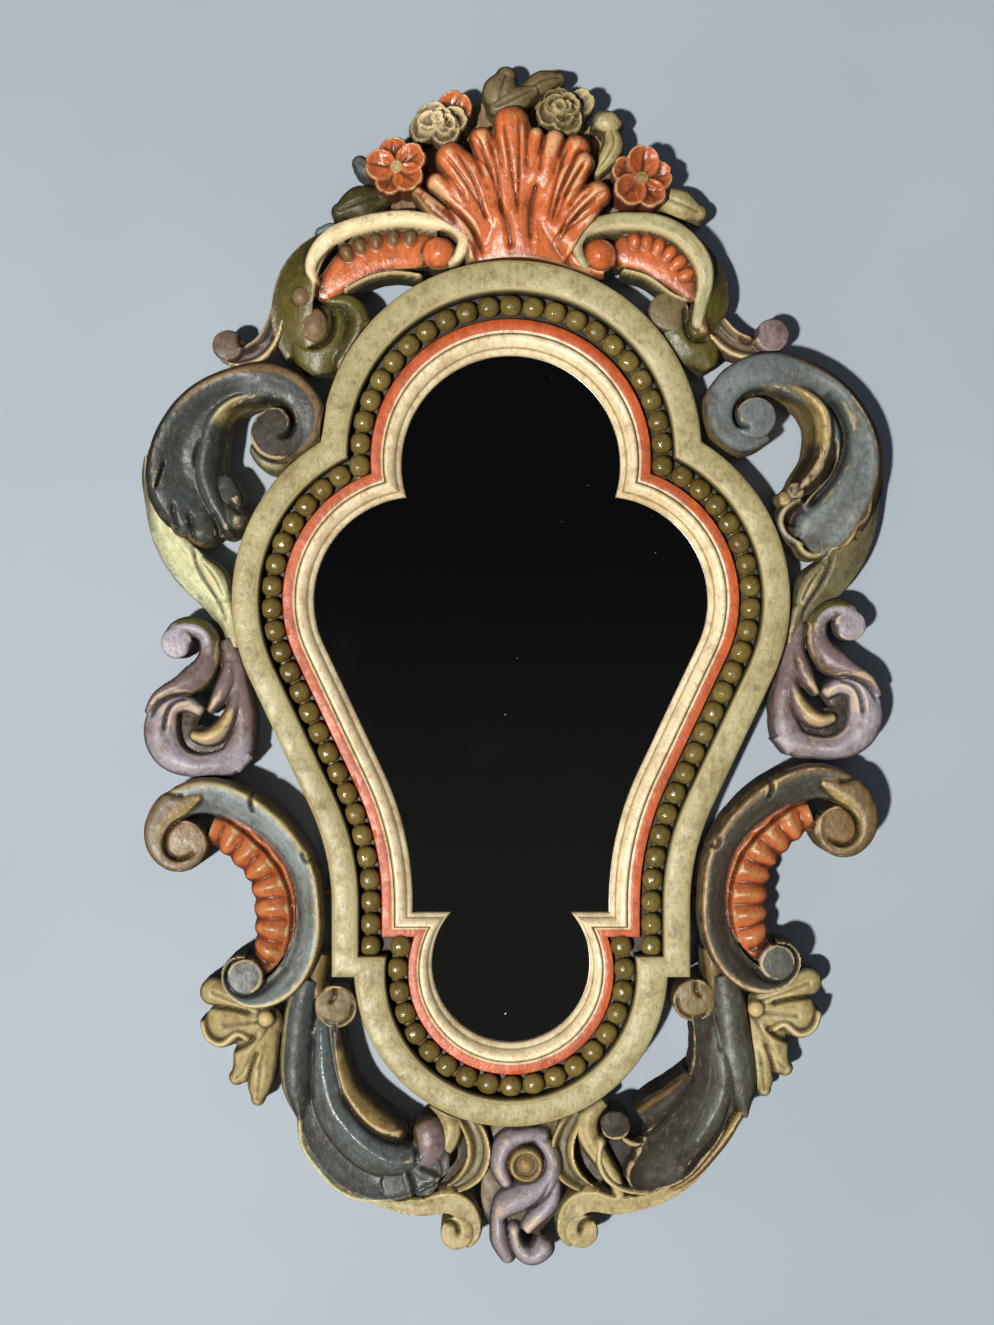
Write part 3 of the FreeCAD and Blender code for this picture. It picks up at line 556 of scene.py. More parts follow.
def spline(points, count):
    """Natural cubic curve through the points, spaced by chord length."""
    points = np.asarray(points, float)
    knots = np.concatenate([[0.0], np.cumsum(np.linalg.norm(np.diff(points[:, :2], axis=0), axis=1))])
    size = len(points)
    gap = np.diff(knots)
    system = np.eye(size)
    wanted = np.zeros_like(points)
    slopes = np.diff(points, axis=0) / gap[:, None]
    for i in range(1, size - 1):
        system[i, i - 1:i + 2] = gap[i - 1], 2 * (gap[i - 1] + gap[i]), gap[i]
        wanted[i] = 6 * (slopes[i] - slopes[i - 1])
    bend = np.linalg.solve(system, wanted)
    at = np.linspace(0.0, knots[-1], count)
    cell = np.clip(np.searchsorted(knots, at, side="right") - 1, 0, size - 2)
    left, right, wide = at - knots[cell], knots[cell + 1] - at, gap[cell]
    low = bend[cell] * (right ** 3 / (6 * wide) - wide * right / 6)[:, None]
    high = bend[cell + 1] * (left ** 3 / (6 * wide) - wide * left / 6)[:, None]
    return low + high + points[cell] * (right / wide)[:, None] + points[cell + 1] * (left / wide)[:, None]


def follow(line, x, z):
    """Share along the line, distance to its left, and distance past its ends, for every grid point."""
    way = np.gradient(line[:, :2], axis=0)
    size = np.linalg.norm(way, axis=1)
    way = way / size[:, None]
    best = np.full(x.shape, np.inf)
    near = np.zeros(x.shape, int)
    for index in range(len(line)):
        gap = (x - line[index, 0]) ** 2 + (z - line[index, 1]) ** 2
        closer = gap < best
        best[closer] = gap[closer]
        near[closer] = index
    dx, dz = x - line[near, 0], z - line[near, 1]
    side = dz * way[near, 0] - dx * way[near, 1]
    along = dx * way[near, 0] + dz * way[near, 1]
    past = np.where(near == 0, -along, np.where(near == len(line) - 1, along, -99.0))
    share = np.clip((near + along / size[near]) / (len(line) - 1), 0.0, 1.0)
    return share, side, past


# Forms: each has a box, and gives the gap outside its outline, its height and its colour at grid points
RIM_BLUR, RIM_LAP, LEAST_HALF_WIDTH = 0.08, 0.01, 0.4
FLUTE_WANDER, FLUTE_WANDER_SIZE, FLUTE_ROUND, FLUTE_CREST_HIGHLIGHT = 0.006, 9.0, 0.65, 0.55
BRUSH_MARKS = 0.15


class Band:
    """Band along stations of x, z, half width and depth, with one cross section.

    A rim of another paint lies beyond rim_from across the band, on rim_side, over rim_span along it.
    """

    def __init__(self, stations, section, paint, rim=None, rim_from=0.7, rim_side=1, rim_span=(0.0, 1.0),
                 flutes=0, flute_depth=0.0, scallop=0.0, round_ends=False):
        self.line = spline(stations, BAND_STEPS)
        self.section, self.paint, self.round_ends = section, paint, round_ends
        self.rim, self.rim_from, self.rim_side, self.rim_span = rim, rim_from, rim_side, rim_span
        self.flutes, self.flute_depth, self.scallop = flutes, flute_depth, scallop

    def box(self):
        wide = self.line[:, 2:3]
        return (self.line[:, :2] - wide).min(0), (self.line[:, :2] + wide).max(0)

    def rim_share(self, u, share):
        start, end = self.rim_span
        amount = smoothstep(self.rim_from - RIM_BLUR, self.rim_from + RIM_BLUR, u * self.rim_side)
        amount = amount * smoothstep(start - RIM_BLUR, start + RIM_LAP, share)
        return (amount * smoothstep(end + RIM_BLUR, end - RIM_LAP, share))[..., None]

    def field(self, x, z):
        share, side, past = follow(self.line, x, z)
        marks = np.linspace(0.0, 1.0, len(self.line))
        half = np.maximum(np.interp(share, marks, self.line[:, 2]), LEAST_HALF_WIDTH)
        top = np.interp(share, marks, self.line[:, 3])
        along = share * np.hypot(*np.diff(self.line[:, :2], axis=0).T).sum()
        uneven = share + FLUTE_WANDER * lattice(along, side, FLUTE_WANDER_SIZE, 5)
        lump = (0.5 + 0.5 * np.cos(2 * np.pi * self.flutes * uneven)) ** FLUTE_ROUND
        half = half * (1.0 - self.scallop * (1.0 - lump) * (side > 0))
        away = np.hypot(side, np.maximum(past, 0.0)) if self.round_ends else np.abs(side)
        u = np.sign(side) * np.clip(away / half, 0.0, 1.0)
        height = top * self.section(u, share)
        colour = np.broadcast_to(linear(self.paint), (*x.shape, 3))
        if self.flutes:
            height = height - self.flute_depth * (1.0 - lump) * smoothstep(-1.0, -0.5, u)
            # Gold on the crest of each flute: painted highlight
            crest_highlight = (FLUTE_CREST_HIGHLIGHT * lump ** 3 * (1.0 - u ** 2))[..., None]
            colour = colour * (1 - crest_highlight) + linear("gold") * crest_highlight
        if self.rim:
            amount = self.rim_share(u, share)
            colour = colour * (1 - amount) + linear(self.rim) * amount
        strokes = lattice(along / 11.0, side, 1.5, 6) + 0.6 * lattice(along / 6.0, side, 4.0, 7)
        colour = colour * (1.0 + BRUSH_MARKS * strokes)[..., None]
        gap = away - half
        return gap if self.round_ends else np.maximum(gap, past), height, colour


def strand(*settings):
    """Band with round ends."""
    return Band(*settings, round_ends=True)


BOSS_RIM_AT, BOSS_RIM_WIDTH = 0.84, 0.13


class Boss:
    """Round boss with a domed top, and a raised rim or a stretched outline where asked."""

    def __init__(self, x, z, radius, depth, rise, paint, rim=0.0, stretch=1.0, turn=0.0):
        self.x, self.z, self.radius, self.depth, self.rise = x, z, radius, depth, rise
        self.paint, self.rim, self.stretch, self.turn = paint, rim, stretch, math.radians(turn)

    def box(self):
        middle = np.array([self.x, self.z])
        return middle - self.radius * 1.2, middle + self.radius * 1.2

    def field(self, x, z):
        across = (x - self.x) * math.cos(self.turn) + (z - self.z) * math.sin(self.turn)
        upward = (z - self.z) * math.cos(self.turn) - (x - self.x) * math.sin(self.turn)
        away = np.hypot(across / self.stretch, upward)
        u = np.clip(away / self.radius, 0.0, 1.0)
        height = self.depth + self.rise * (1.0 - u ** 2)
        height = height + self.rim * np.exp(-((u - BOSS_RIM_AT) / BOSS_RIM_WIDTH) ** 2)
        return away - self.radius, height, np.broadcast_to(linear(self.paint), (*x.shape, 3))


PETAL_EDGE, PETAL_TINT = 0.88, 0.6
NICK_DEPTH, NICK_WIDTH = 0.10, 0.22
CREASE_DEPTH, CREASE_WIDTH = 0.8, 1.2


class Petal:
    """One cupped petal: a round dish with a raised edge, tipped along its way out from the middle."""

    def __init__(self, x, z, radius, depth, cup, tip, way, paint, edge):
        self.x, self.z, self.radius, self.depth = x, z, radius, depth
        self.cup, self.tip, self.way, self.paint, self.edge = cup, tip, way, paint, edge

    def box(self):
        middle = np.array([self.x, self.z])
        return middle - self.radius, middle + self.radius

    def field(self, x, z):
        out = (x - self.x) * math.cos(self.way) + (z - self.z) * math.sin(self.way)
        cross = (z - self.z) * math.cos(self.way) - (x - self.x) * math.sin(self.way)
        nick = NICK_DEPTH * self.radius * np.exp(-(cross / (NICK_WIDTH * self.radius)) ** 2) * (out > 0)
        away = np.hypot(out, cross) + nick
        u = np.clip(away / self.radius, 0.0, 1.0)
        rolled = u ** 2.5 - 0.7 * smoothstep(PETAL_EDGE, 1.0, u)
        height = self.depth + self.cup * rolled + self.tip * out / self.radius
        height = height - CREASE_DEPTH * np.exp(-(cross / CREASE_WIDTH) ** 2)
        amount = PETAL_TINT * smoothstep(PETAL_EDGE, 1.0, u)[..., None]
        return away - self.radius, height, linear(self.paint) * (1 - amount) + linear(self.edge) * amount


def petal_ring(x, z, count, out, radius, depth, cup, tip, turn, paint, edge, wide=1.0, tall=1.0):
    """Petals round a middle, each a little higher or lower than the next so that they overlap."""
    petals = []
    for number in range(count):
        way = math.radians(turn + 360.0 * number / count)
        uneven = math.sin(number * 2.4 + turn)
        petal_x, petal_z = x + wide * out * math.cos(way), z + tall * out * math.sin(way)
        size, top = radius * (1 + 0.07 * uneven), depth + 1.1 * uneven
        petals.append(Petal(petal_x, petal_z, size, top, cup, tip, way, paint, edge))
    return petals


class Leaning:
    """Another form whose face leans by a slope in x and in z about a point."""

    def __init__(self, form, x, z, slope_x, slope_z):
        self.form, self.paint, self.x, self.z = form, form.paint, x, z
        self.slope_x, self.slope_z = slope_x, slope_z

    def box(self):
        return self.form.box()

    def field(self, x, z):
        gap, height, colour = self.form.field(x, z)
        return gap, height + self.slope_x * (x - self.x) + self.slope_z * (z - self.z), colour


def open_flower(x, z, radius, depth, turn, paint):
    """Five open petals round a small boss, turned a little outwards and up."""
    petals = petal_ring(x, z, 5, 0.54 * radius, 0.52 * radius, depth - 4.5, 4.0, 1.8, turn, paint,
                        "straw")
    forms = petals + [Boss(x, z, 0.22 * radius, depth - 3.5, 1.5, "straw", 1.2)]
    return [Leaning(form, x, z, -0.20 * np.sign(x), -0.10) for form in forms]


def full_rose(x, z, radius, depth, turn, paint, wide, tall):
    """Three rings of petals, each higher than the ring outside it, turned a little outwards and up."""
    outer = petal_ring(x, z, 4, 0.44 * radius, 0.60 * radius, depth - 12, 7.5, -4.0, turn, paint,
                       "straw", wide, tall)
    middle = petal_ring(x, z, 3, 0.26 * radius, 0.46 * radius, depth - 8, 7.0, -1.0, turn + 50, paint,
                        "straw", wide, tall)
    inner = petal_ring(x, z, 2, 0.12 * radius, 0.25 * radius, depth - 1.5, 4.0, 1.0, turn + 80, paint,
                       "rose")
    return [Leaning(form, x, z, -0.24 * np.sign(x), -0.14) for form in outer + middle + inner]


GROOVE_ENDS = 0.25


class Groove:
    """Line cut into the surface along points of x and z."""

    def __init__(self, points, depth, width):
        self.line = spline([(x, z, 0.0) for x, z in points], GROOVE_STEPS)
        self.depth, self.width = depth, width

    def cut(self, x, z):
        share, side, past = follow(self.line, x, z)
        away = np.hypot(side, np.maximum(past, 0.0))
        taper = smoothstep(0.0, 0.12, share) * smoothstep(1.0, 0.86, share)
        return self.depth * np.exp(-(away / self.width) ** 2) * (GROOVE_ENDS + (1.0 - GROOVE_ENDS) * taper)


class Bite:
    """Round nick taken out of the outline."""

    def __init__(self, x, z, radius):
        self.x, self.z, self.radius = x, z, radius

    def gap(self, x, z):
        return self.radius - np.hypot(x - self.x, z - self.z)


def blur(field, cells):
    """Mean of the field over a square of cells round each point."""
    for axis in (0, 1):
        padded = np.pad(field, [(cells + 1, cells) if a == axis else (0, 0) for a in (0, 1)], mode="edge")
        summed = np.cumsum(padded, axis=axis)
        size = field.shape[axis]
        span = 2 * cells + 1
        high = np.take(summed, range(span, span + size), axis=axis)
        low = np.take(summed, range(0, size), axis=axis)
        field = (high - low) / span
    return field


def smoothed(field, inside, cells):
    """Mean of the field round each point, over the points inside only."""
    share = blur(blur(inside.astype(float), cells), cells)
    return blur(blur(field * inside, cells), cells) / np.maximum(share, 1e-6)


RING_EDGE = outline(RING_WIDTH)


def ring_gap(x, z):
    """Distance from the ring's outer edge, below zero inside it."""
    best = np.full(x.shape, np.inf)
    sign = np.zeros(x.shape, bool)
    ahead = np.roll(RING_EDGE, -1, axis=0)
    for (ax, az), (bx, bz) in zip(RING_EDGE, ahead):
        length = (bx - ax) ** 2 + (bz - az) ** 2
        share = np.clip(((x - ax) * (bx - ax) + (z - az) * (bz - az)) / length, 0.0, 1.0)
        best = np.minimum(best, (x - ax - share * (bx - ax)) ** 2 + (z - az - share * (bz - az)) ** 2)
        rise = bz - az if bz != az else 1e-9
        sign ^= ((az > z) != (bz > z)) & (x < ax + (z - az) * (bx - ax) / rise)
    return np.where(sign, -1.0, 1.0) * np.sqrt(best)


# Wear on crests and broad rises also paints a sheen; dirt in hollows and beside the ring also paints shade
EDGE_WEAR, CREST_WEAR_AND_SHEEN, BROAD_WEAR_AND_SHEEN = 0.70, 0.45, 0.45
HOLLOW_DIRT_AND_SHADE, BROAD_DIRT_AND_SHADE, RING_DIRT_AND_SHADE, MOST_DIRT_AND_SHADE = 0.75, 0.65, 0.75, 0.92


def wear_sheen_dirt_and_shade(height, gap, nearest):
    """Wear on edges and ridges, which on crests and broad rises also paints a sheen, and dirt in hollows
    and beside the ring, which also paints shade there.
    """
    inside = gap < 0
    crest = height - smoothed(height, inside, NEAR_CELLS)
    broad = height - smoothed(height, inside, FAR_CELLS)
    wear_and_sheen = EDGE_WEAR * smoothstep(2.2, 0.4, -gap) + CREST_WEAR_AND_SHEEN * np.clip(crest / 0.8, 0, 1)
    wear_and_sheen = wear_and_sheen + BROAD_WEAR_AND_SHEEN * np.clip(broad / 4.0, 0, 1)
    dirt_and_shade_mask = HOLLOW_DIRT_AND_SHADE * np.clip(-crest / 0.6, 0, 1) + BROAD_DIRT_AND_SHADE * np.clip(-broad / 3.0, 0, 1)
    return wear_and_sheen, np.maximum(dirt_and_shade_mask, RING_DIRT_AND_SHADE * smoothstep(3.5, 0.2, nearest))


def relief(node, forms, anchor, side=1, shift=(0.0, 0.0), grooves=(), bites=(), floor=0.0, wall="wall",
           wear=1.0):
    """Carve one piece: join its forms on a grid, cut its grooves, and mesh the result."""
    floor = floor + BACK_STEP * (sum(map(ord, node + "_carved")) % 9)
    low = np.min([form.box()[0] for form in forms], axis=0) - MARGIN
    high = np.max([form.box()[1] for form in forms], axis=0) + MARGIN
    columns, rows = np.arange(low[0], high[0], CELL), np.arange(low[1], high[1], CELL)
    gx, gz = np.meshgrid(columns, rows, indexing="ij")
    x = side * (anchor[0] + gx) + shift[0]
    z = anchor[1] + gz + shift[1]

    made = [form.field(gx, gz) for form in forms]
    gaps = np.stack([item[0] for item in made])
    raised = np.stack([item[1] for item in made])
    inset = np.clip(-gaps, 0.0, EDGE_ROUND)
    arris = np.sqrt(np.maximum(EDGE_ROUND ** 2 - (EDGE_ROUND - inset) ** 2, 0.0))
    raised = raised - (EDGE_ROUND - arris)
    raised = raised - DRAFT * np.maximum(gaps, 0.0)
    peak = raised.max(0)
    weight = np.exp((raised - peak) / BLEND)
    total = weight.sum(0)
    height = peak + BLEND * np.log(total)
    colour = sum(share[..., None] * item[2] for share, item in zip(weight, made)) / total[..., None]
    gloss = [SHINE.get(form.paint, SHINE_OF_OTHERS) for form in forms]
    shine = sum(share * value for share, value in zip(weight, gloss)) / total
    gap = gaps.min(0)
    for bite in bites:
        gap = np.maximum(gap, bite.gap(gx, gz))
    for groove in grooves:
        height = height - groove.cut(gx, gz)
    height = height + unevenness(x, z)
    gap = gap + EDGE_WAVER * lattice(x, z, EDGE_WAVER_SIZE, 4)
    nearest = ring_gap(x, z)
    gap = np.maximum(gap, GLUE - nearest)
    height = np.maximum(height, floor + LEAST_DEPTH)
    wear_and_sheen, dirt_and_shade_mask = wear_sheen_dirt_and_shade(height, gap, nearest)
    age = np.stack([np.clip(wear_and_sheen * wear, 0, 1), np.clip(dirt_and_shade_mask, 0, MOST_DIRT_AND_SHADE), shine], -1)
    mesh_relief(node, x, z, gap, height, colour, age, floor, wall, side)


# Walls take the given wall paint and are darkened, more towards the back: painted shade
WALL_LEVELS = (0.96, 0.5, 0.0)
WALL_SHADE, WALL_SHADE_TOWARD_BACK, WALL_GLOSS = 0.18, 0.55, 0.2
SHORTEST_LOOP = 5


def mesh_relief(node, x, z, gap, height, colour, age, floor, wall, side):
    """Mesh of the grid inside the outline, with walls down to the floor and a flat back."""
    inside = gap < 0
    index = np.full(gap.shape, -1)
    index[inside] = np.arange(inside.sum())
    layers = np.concatenate([x[..., None], z[..., None], height[..., None], colour, age], -1)
    rows = [layers[inside]]
    count = int(inside.sum())
    edge_index = []
    for axis in (0, 1):
        first = [slice(None), slice(None)]
        second = [slice(None), slice(None)]
        first[axis], second[axis] = slice(None, -1), slice(1, None)
        first, second = tuple(first), tuple(second)
        crosses = inside[first] != inside[second]
        share = (gap[first] / np.where(crosses, gap[first] - gap[second], 1.0))[crosses][:, None]
        rows.append(layers[first][crosses] * (1 - share) + layers[second][crosses] * share)
        number = np.full(crosses.shape, -1)
        number[crosses] = count + np.arange(crosses.sum())
        count += int(crosses.sum())
        edge_index.append(number)
    data = np.concatenate(rows)
    corners = np.stack([index[:-1, :-1], index[1:, :-1], index[1:, 1:], index[:-1, 1:]], -1)
    held = (corners >= 0).sum(-1)
    faces = corners[held == 4].tolist()
    rim = {}
    for i, j in zip(*np.nonzero((held > 0) & (held < 4))):
        around = [index[i, j], edge_index[0][i, j], index[i + 1, j], edge_index[1][i + 1, j],
                  index[i + 1, j + 1], edge_index[0][i, j + 1], index[i, j + 1], edge_index[1][i, j]]
        ring = [(spot % 2, int(value)) for spot, value in enumerate(around) if value >= 0]
        faces.append([value for _, value in ring])
        for here, after in zip(ring, ring[1:] + ring[:1]):
            if here[0] and after[0]:
                rim[here[1]] = after[1]
    loops = []
    while rim:
        start, after = rim.popitem()
        loop = [start]
        while after != start:
            loop.append(after)
            after = rim.pop(after)
        loops.append(loop)
    loops = [loop for loop in loops if len(loop) > SHORTEST_LOOP]
    blocks = [data]
    back_loops = []
    for loop in loops:
        ring = data[loop]
        upper = loop
        for share in WALL_LEVELS:
            lower_row = ring.copy()
            lower_row[:, 2] = floor + (ring[:, 2] - floor) * share
            lower_row[:, 3:6] = linear(wall)
            lower_row[:, 6:] = 0.0, WALL_SHADE + WALL_SHADE_TOWARD_BACK * (1 - share), WALL_GLOSS
            lower = list(range(count, count + len(loop)))
            count += len(loop)
            blocks.append(lower_row)
            for k in range(len(loop)):
                after = (k + 1) % len(loop)
                faces.append([upper[k], lower[k], lower[after], upper[after]])
            upper = lower
        back_loops.append(upper)
    data = np.concatenate(blocks)
    flat = [[Vector((data[v, 0], data[v, 1], 0.0)) for v in loop] for loop in back_loops]
    order = [v for loop in back_loops for v in loop]
    for a, b, c in tessellate_polygon(flat):
        a, b, c = order[a], order[b], order[c]
        turn = np.cross(data[b, :2] - data[a, :2], data[c, :2] - data[a, :2])
        faces.append([a, c, b] if turn * side > 0 else [a, b, c])
    if side < 0:
        faces = [face[::-1] for face in faces]
    points = placed(data[:, 0], data[:, 1], data[:, 2])
    new_piece(node + "_carved", points, faces, data[:, 3:6], data[:, 6:9], CARVED, [node])


# Anchors on the outer edge of the ring
AT_NOTCH = tuple(notch(RING_WIDTH))
AT_LOBE = (LOBE_X + LOBE_RADIUS + RING_WIDTH, LOBE_Z)
AT_NECK = (NECK_HALF_WIDTH + RING_WIDTH, NECK_Z)
AT_STEP = tuple(step(RING_WIDTH))
AT_FOOT = (0.0, FOOT_BOTTOM - RING_WIDTH)
AT_APEX = (0.0, APEX)


def pair(name, forms, anchor, shift, **settings):
    relief(name + "_r", forms, anchor, **settings)
    relief(name + "_l", forms, anchor, -1, shift, **settings)


# Shoulder scroll: a flat volute that opens into a hollow band beside a roll, and ends in a leaf or lobes
def shoulder_section(u, s):
    hollow = 0.82 + 0.18 * smoothstep(-0.60, 0.55, u) - 0.22 * smoothstep(0.62, 1.0, u)
    share = smoothstep(0.36, 0.54, s)
    return hollow * share + plateau(u, s) * (1 - share)


def roll_section(u, s):
    return 1.0 - 0.40 * smoothstep(0.0, -1.0, u) - 0.30 * smoothstep(0.1, 1.0, u)


SHOULDER_VOLUTE = [
    (40, 3, 4, 35), (28, -1, 6.5, 35), (18, 4, 8.5, 36), (11, 19, 10, 37), (17, 33, 10.5, 38),
    (30, 41, 11, 39), (45, 43, 11, 39), (60, 39, 12, 38.5), (76, 30, 13, 38), (90, 14, 13.5, 38),
]
SHOULDER_GROOVE = Groove([(40, 31), (30, 29), (22, 23), (20, 15), (23, 9), (27, 8)], 9.0, 1.5)
relief("shoulder_scroll_r", [
    Band(SHOULDER_VOLUTE + [
        (98, -5, 13.5, 37), (97, -22, 15, 36), (90, -37, 18, 34), (81, -50, 20, 31), (72, -61, 17, 28),
        (67, -66, 12, 26),
    ], shoulder_section, "slate", "tan", 0.66, 1, (0.45, 0.9)),
    Boss(32.4, 13.7, 12.5, 36.4, 0.6, "slate"),
    strand([
        (36, 32, 4, 35), (51, 33, 7, 36), (64, 28, 9, 36.5), (73, 19, 10, 37), (76, 7, 10, 37),
        (75, -5, 9.5, 36.5), (71, -16, 9, 36), (64, -25, 8, 35), (58, -31, 5.5, 33),
    ], roll_section, "umber", "gold", -0.25, -1, (0.0, 0.62)),
    strand([
        (60, -36, 3, 30), (52, -42, 3.2, 29), (49.5, -50, 3.2, 28), (54, -59, 3, 27), (62, -64, 2.6, 27),
    ], crown, "slate", "straw", 0.1, 1),
    strand([(60, -63, 2.6, 27), (66, -70, 3, 27), (74, -70, 2.8, 27), (81, -64, 2.4, 28)], crown, "straw"),
    strand([(81, -64, 2.4, 28), (88, -65, 3, 29), (93, -60, 2.6, 30), (96, -53, 2.2, 31)], crown, "gold"),
    strand([(96, -53, 2.2, 31), (101, -49, 2.8, 32), (104, -41, 2.4, 33), (105, -30, 2, 33)], crown, "tan"),
    # Low dark umber floor in the cup: painted shade
    Band([(62, -36, 6, 24), (57, -47, 7, 22), (62, -58, 7, 22)], plateau, "umber"),
    Boss(58, -31, 5.0, 32, 2.0, "umber"),
    Boss(51.5, -35.5, 4.5, 29, 2.0, "gold"),
], AT_NOTCH, grooves=[
    SHOULDER_GROOVE,
    Groove([(78, 26), (88, 9), (89, -5), (84, -20), (74, -33), (66, -42)], 12.0, 2.8),
    Groove([(64, -40), (58, -46), (56, -53)], 8.0, 4.0),
], bites=[Bite(83, -70, 3.0), Bite(98, -58, 2.5)], wall="gold")
SHOULDER_LOBES = [
    (103, -4, 105, -19, 6), (100, -20, 99, -37, 7), (92, -28, 89, -46, 8.5), (82, -30, 78, -50, 9.5),
    (66, -34, 56, -42, 6.5), (64, -22, 57, -30, 5.5),
]
# The left shoulder takes a darker slate than the right one: painted shade
shoulder_l = [
    Band(SHOULDER_VOLUTE + [
        (97, -5, 14.5, 37), (96, -18, 17, 36), (89, -30, 19, 34.5), (80, -38, 19, 32),
    ], shoulder_section, "slate_deep", "tan", 0.45, 1, (0.0, 0.62)),
    Boss(30, 10, 16, 36.4, 0.4, "soot"),
    strand([(46, 1, 3, 28), (40, -6, 4.5, 28), (30, -9, 5, 28), (22, -7, 3, 28)], crown, "pale"),
    strand([
        (34, 32, 4, 33), (50, 33, 7, 34), (63, 27, 9, 33.5), (71, 16, 11, 33), (74, 3, 12, 33),
        (76, -10, 12.5, 32.5), (73, -23, 12.5, 32.5), (67, -37, 11, 32), (62, -46, 9, 30.5),
    ], roll_section, "slate_deep", "straw", -0.1, -1, (0.0, 0.34)),
]
for x, z, tip_x, tip_z, half in SHOULDER_LOBES:
    stations = [(x, z, half + 3, 28), (tip_x, tip_z, half, 32)]
    shoulder_l.append(strand(stations, lobe, "slate_deep", "tan", 0.75, 1, (0.6, 1.0)))
lobe_cuts = [SHOULDER_GROOVE, Groove([(100, -7), (102, -14), (105, -24)], 4.5, 0.9)]
for one, two in zip(SHOULDER_LOBES[1:], SHOULDER_LOBES[2:]):
    start_x, start_z, tip_x, tip_z = [(a + b) / 2 for a, b in zip(one[:4], two[:4])]
    half_way = (0.5 * (start_x + tip_x), 0.5 * (start_z + tip_z))
    beyond = (1.5 * tip_x - 0.5 * start_x, 1.5 * tip_z - 0.5 * start_z)
    lobe_cuts.append(Groove([half_way, (tip_x, tip_z), beyond], 3.0, 1.7))
relief("shoulder_scroll_l", shoulder_l, AT_NOTCH, -1, (4, -6), lobe_cuts, wall="straw")


# Stem from the shoulder scroll down to the ring, with a small leaf against it
def stem_section(u, s):
    return 1.0 - 0.42 * smoothstep(-0.7, 1.0, u) - 0.06 * smoothstep(-0.6, -1.0, u)


STEM_GROOVE = Groove([(26, 30), (22, 14), (13, 0), (7, -14)], 3.0, 1.5)
# The right stem takes a darker sage and the left a pale mint: shaded and lit copies of one paint
for side, paint, turned, shift in (("r", "sage", 1, (0, 0)), ("l", "mint", -1, (2, 3))):
    relief("stem_leaf_" + side, [
        Band([
            (57, 88, 2, 21), (57, 76, 3.5, 23), (53, 63, 6, 25), (47, 46, 9, 26), (38, 28, 11, 27),
            (26, 14, 12.5, 27), (15, 1, 11, 26), (8, -12, 8, 24), (4, -24, 6, 22), (3, -33, 4.5, 20),
        ], stem_section, paint),
        strand([(19, 20, 4, 29), (12, 11, 6.5, 31), (7, 0, 5, 29)], leaf, paint),
    ], AT_LOBE, turned, shift, [STEM_GROOVE], wall=paint)

# Side acanthus: a neck that hooks over above, and a broad leaf below that turns back on itself
pair("side_acanthus", [
    Band([
        (9, -14, 4.5, 20), (4, -27, 7, 22), (2, -41, 8.5, 24), (-2, -57, 8.5, 25), (-3, -73, 8, 25),
        (1, -86, 9, 26),
    ], lobe, "mauve"),
    strand([
        (-3, -76, 8, 25), (2, -88, 9, 27), (14, -92, 7.5, 29), (29, -92, 7.5, 31), (41, -86, 9.5, 32),
        (47, -74, 10.5, 33), (46, -62, 9.5, 33), (40, -54, 7, 32), (31, -53, 5.5, 30), (24, -57, 4, 28),
    ], lobe, "lavender"),
    Band([(-6, -84, 5.5, 25), (2, -94, 5, 26)], plateau, "lavender"),
    # Low dark umber floor in the recess under the leaf: painted shade
    strand([
        (3, -68, 8, 21), (14, -78, 10, 20), (26, -77, 10, 20), (33, -67, 8, 19), (28, -58, 6, 18),
    ], plateau, "umber"),
    strand([
        (0, -48, 4, 25), (4, -61, 5.5, 29), (11, -71, 6.5, 31), (19, -75, 5.5, 31), (26, -74, 4, 28),
    ], crown, "mauve", "gold", -0.2, 1, (0.3, 1.0)),
    strand([(5, -30, 5, 24), (8, -43, 6.5, 28), (13, -52, 5, 28), (16, -57, 3.5, 27)], crown, "mauve"),
    Band([
        (17, -14, 6, 28), (17.5, -23, 6.5, 29), (21, -32, 8, 31), (28, -39, 8.5, 33), (38.5, -44, 5.5, 34),
        (49, -50, 4, 33), (55, -60, 3, 30),
    ], lobe, "mauve", "gold", 0.80, -1, (0.2, 0.9)),
    Band([
        (17, -22, 6.5, 28), (19, -11, 6, 29), (27, -6, 6, 29), (36, -7, 6, 29), (41, -13, 5, 29),
    ], lobe, "lavender", "olive", 0.30, 1, (0.0, 0.75)),
    Boss(37, -16, 9.5, 29, 0.6, "lavender"),
], AT_LOBE, (3, -11), grooves=[
    Groove([(29, -50), (38, -53), (43, -62), (44, -72)], 3.6, 1.4),
    Groove([(20, -50), (33, -48), (46, -53), (53, -64)], 3.0, 1.2),
    Groove([(27, -26), (28, -21), (27, -15)], 3.5, 1.6),
], bites=[Bite(31.5, -27.5, 3.0)], wall="mauve", wear=1.3)


# Lower scroll: a band that sweeps round an eye above and a disc below, with soft flutes in its hollow
def lower_section(u, s):
    hollow = 0.68 + 0.32 * smoothstep(0.80, -0.60, u) - 0.16 * smoothstep(-0.74, -1.0, u)
    share = smoothstep(0.22, 0.36, s)
    return hollow * share + plateau(u, s) * (1 - share)


LOWER_EYE = [
    (81, 56, 2.2, 35), (79, 47, 2.6, 35), (84, 38, 3.2, 36), (94, 34.5, 3.6, 37), (104, 40, 4.8, 37.5),
    (108.5, 51, 6.2, 38), (105, 64, 8, 38.5),
]


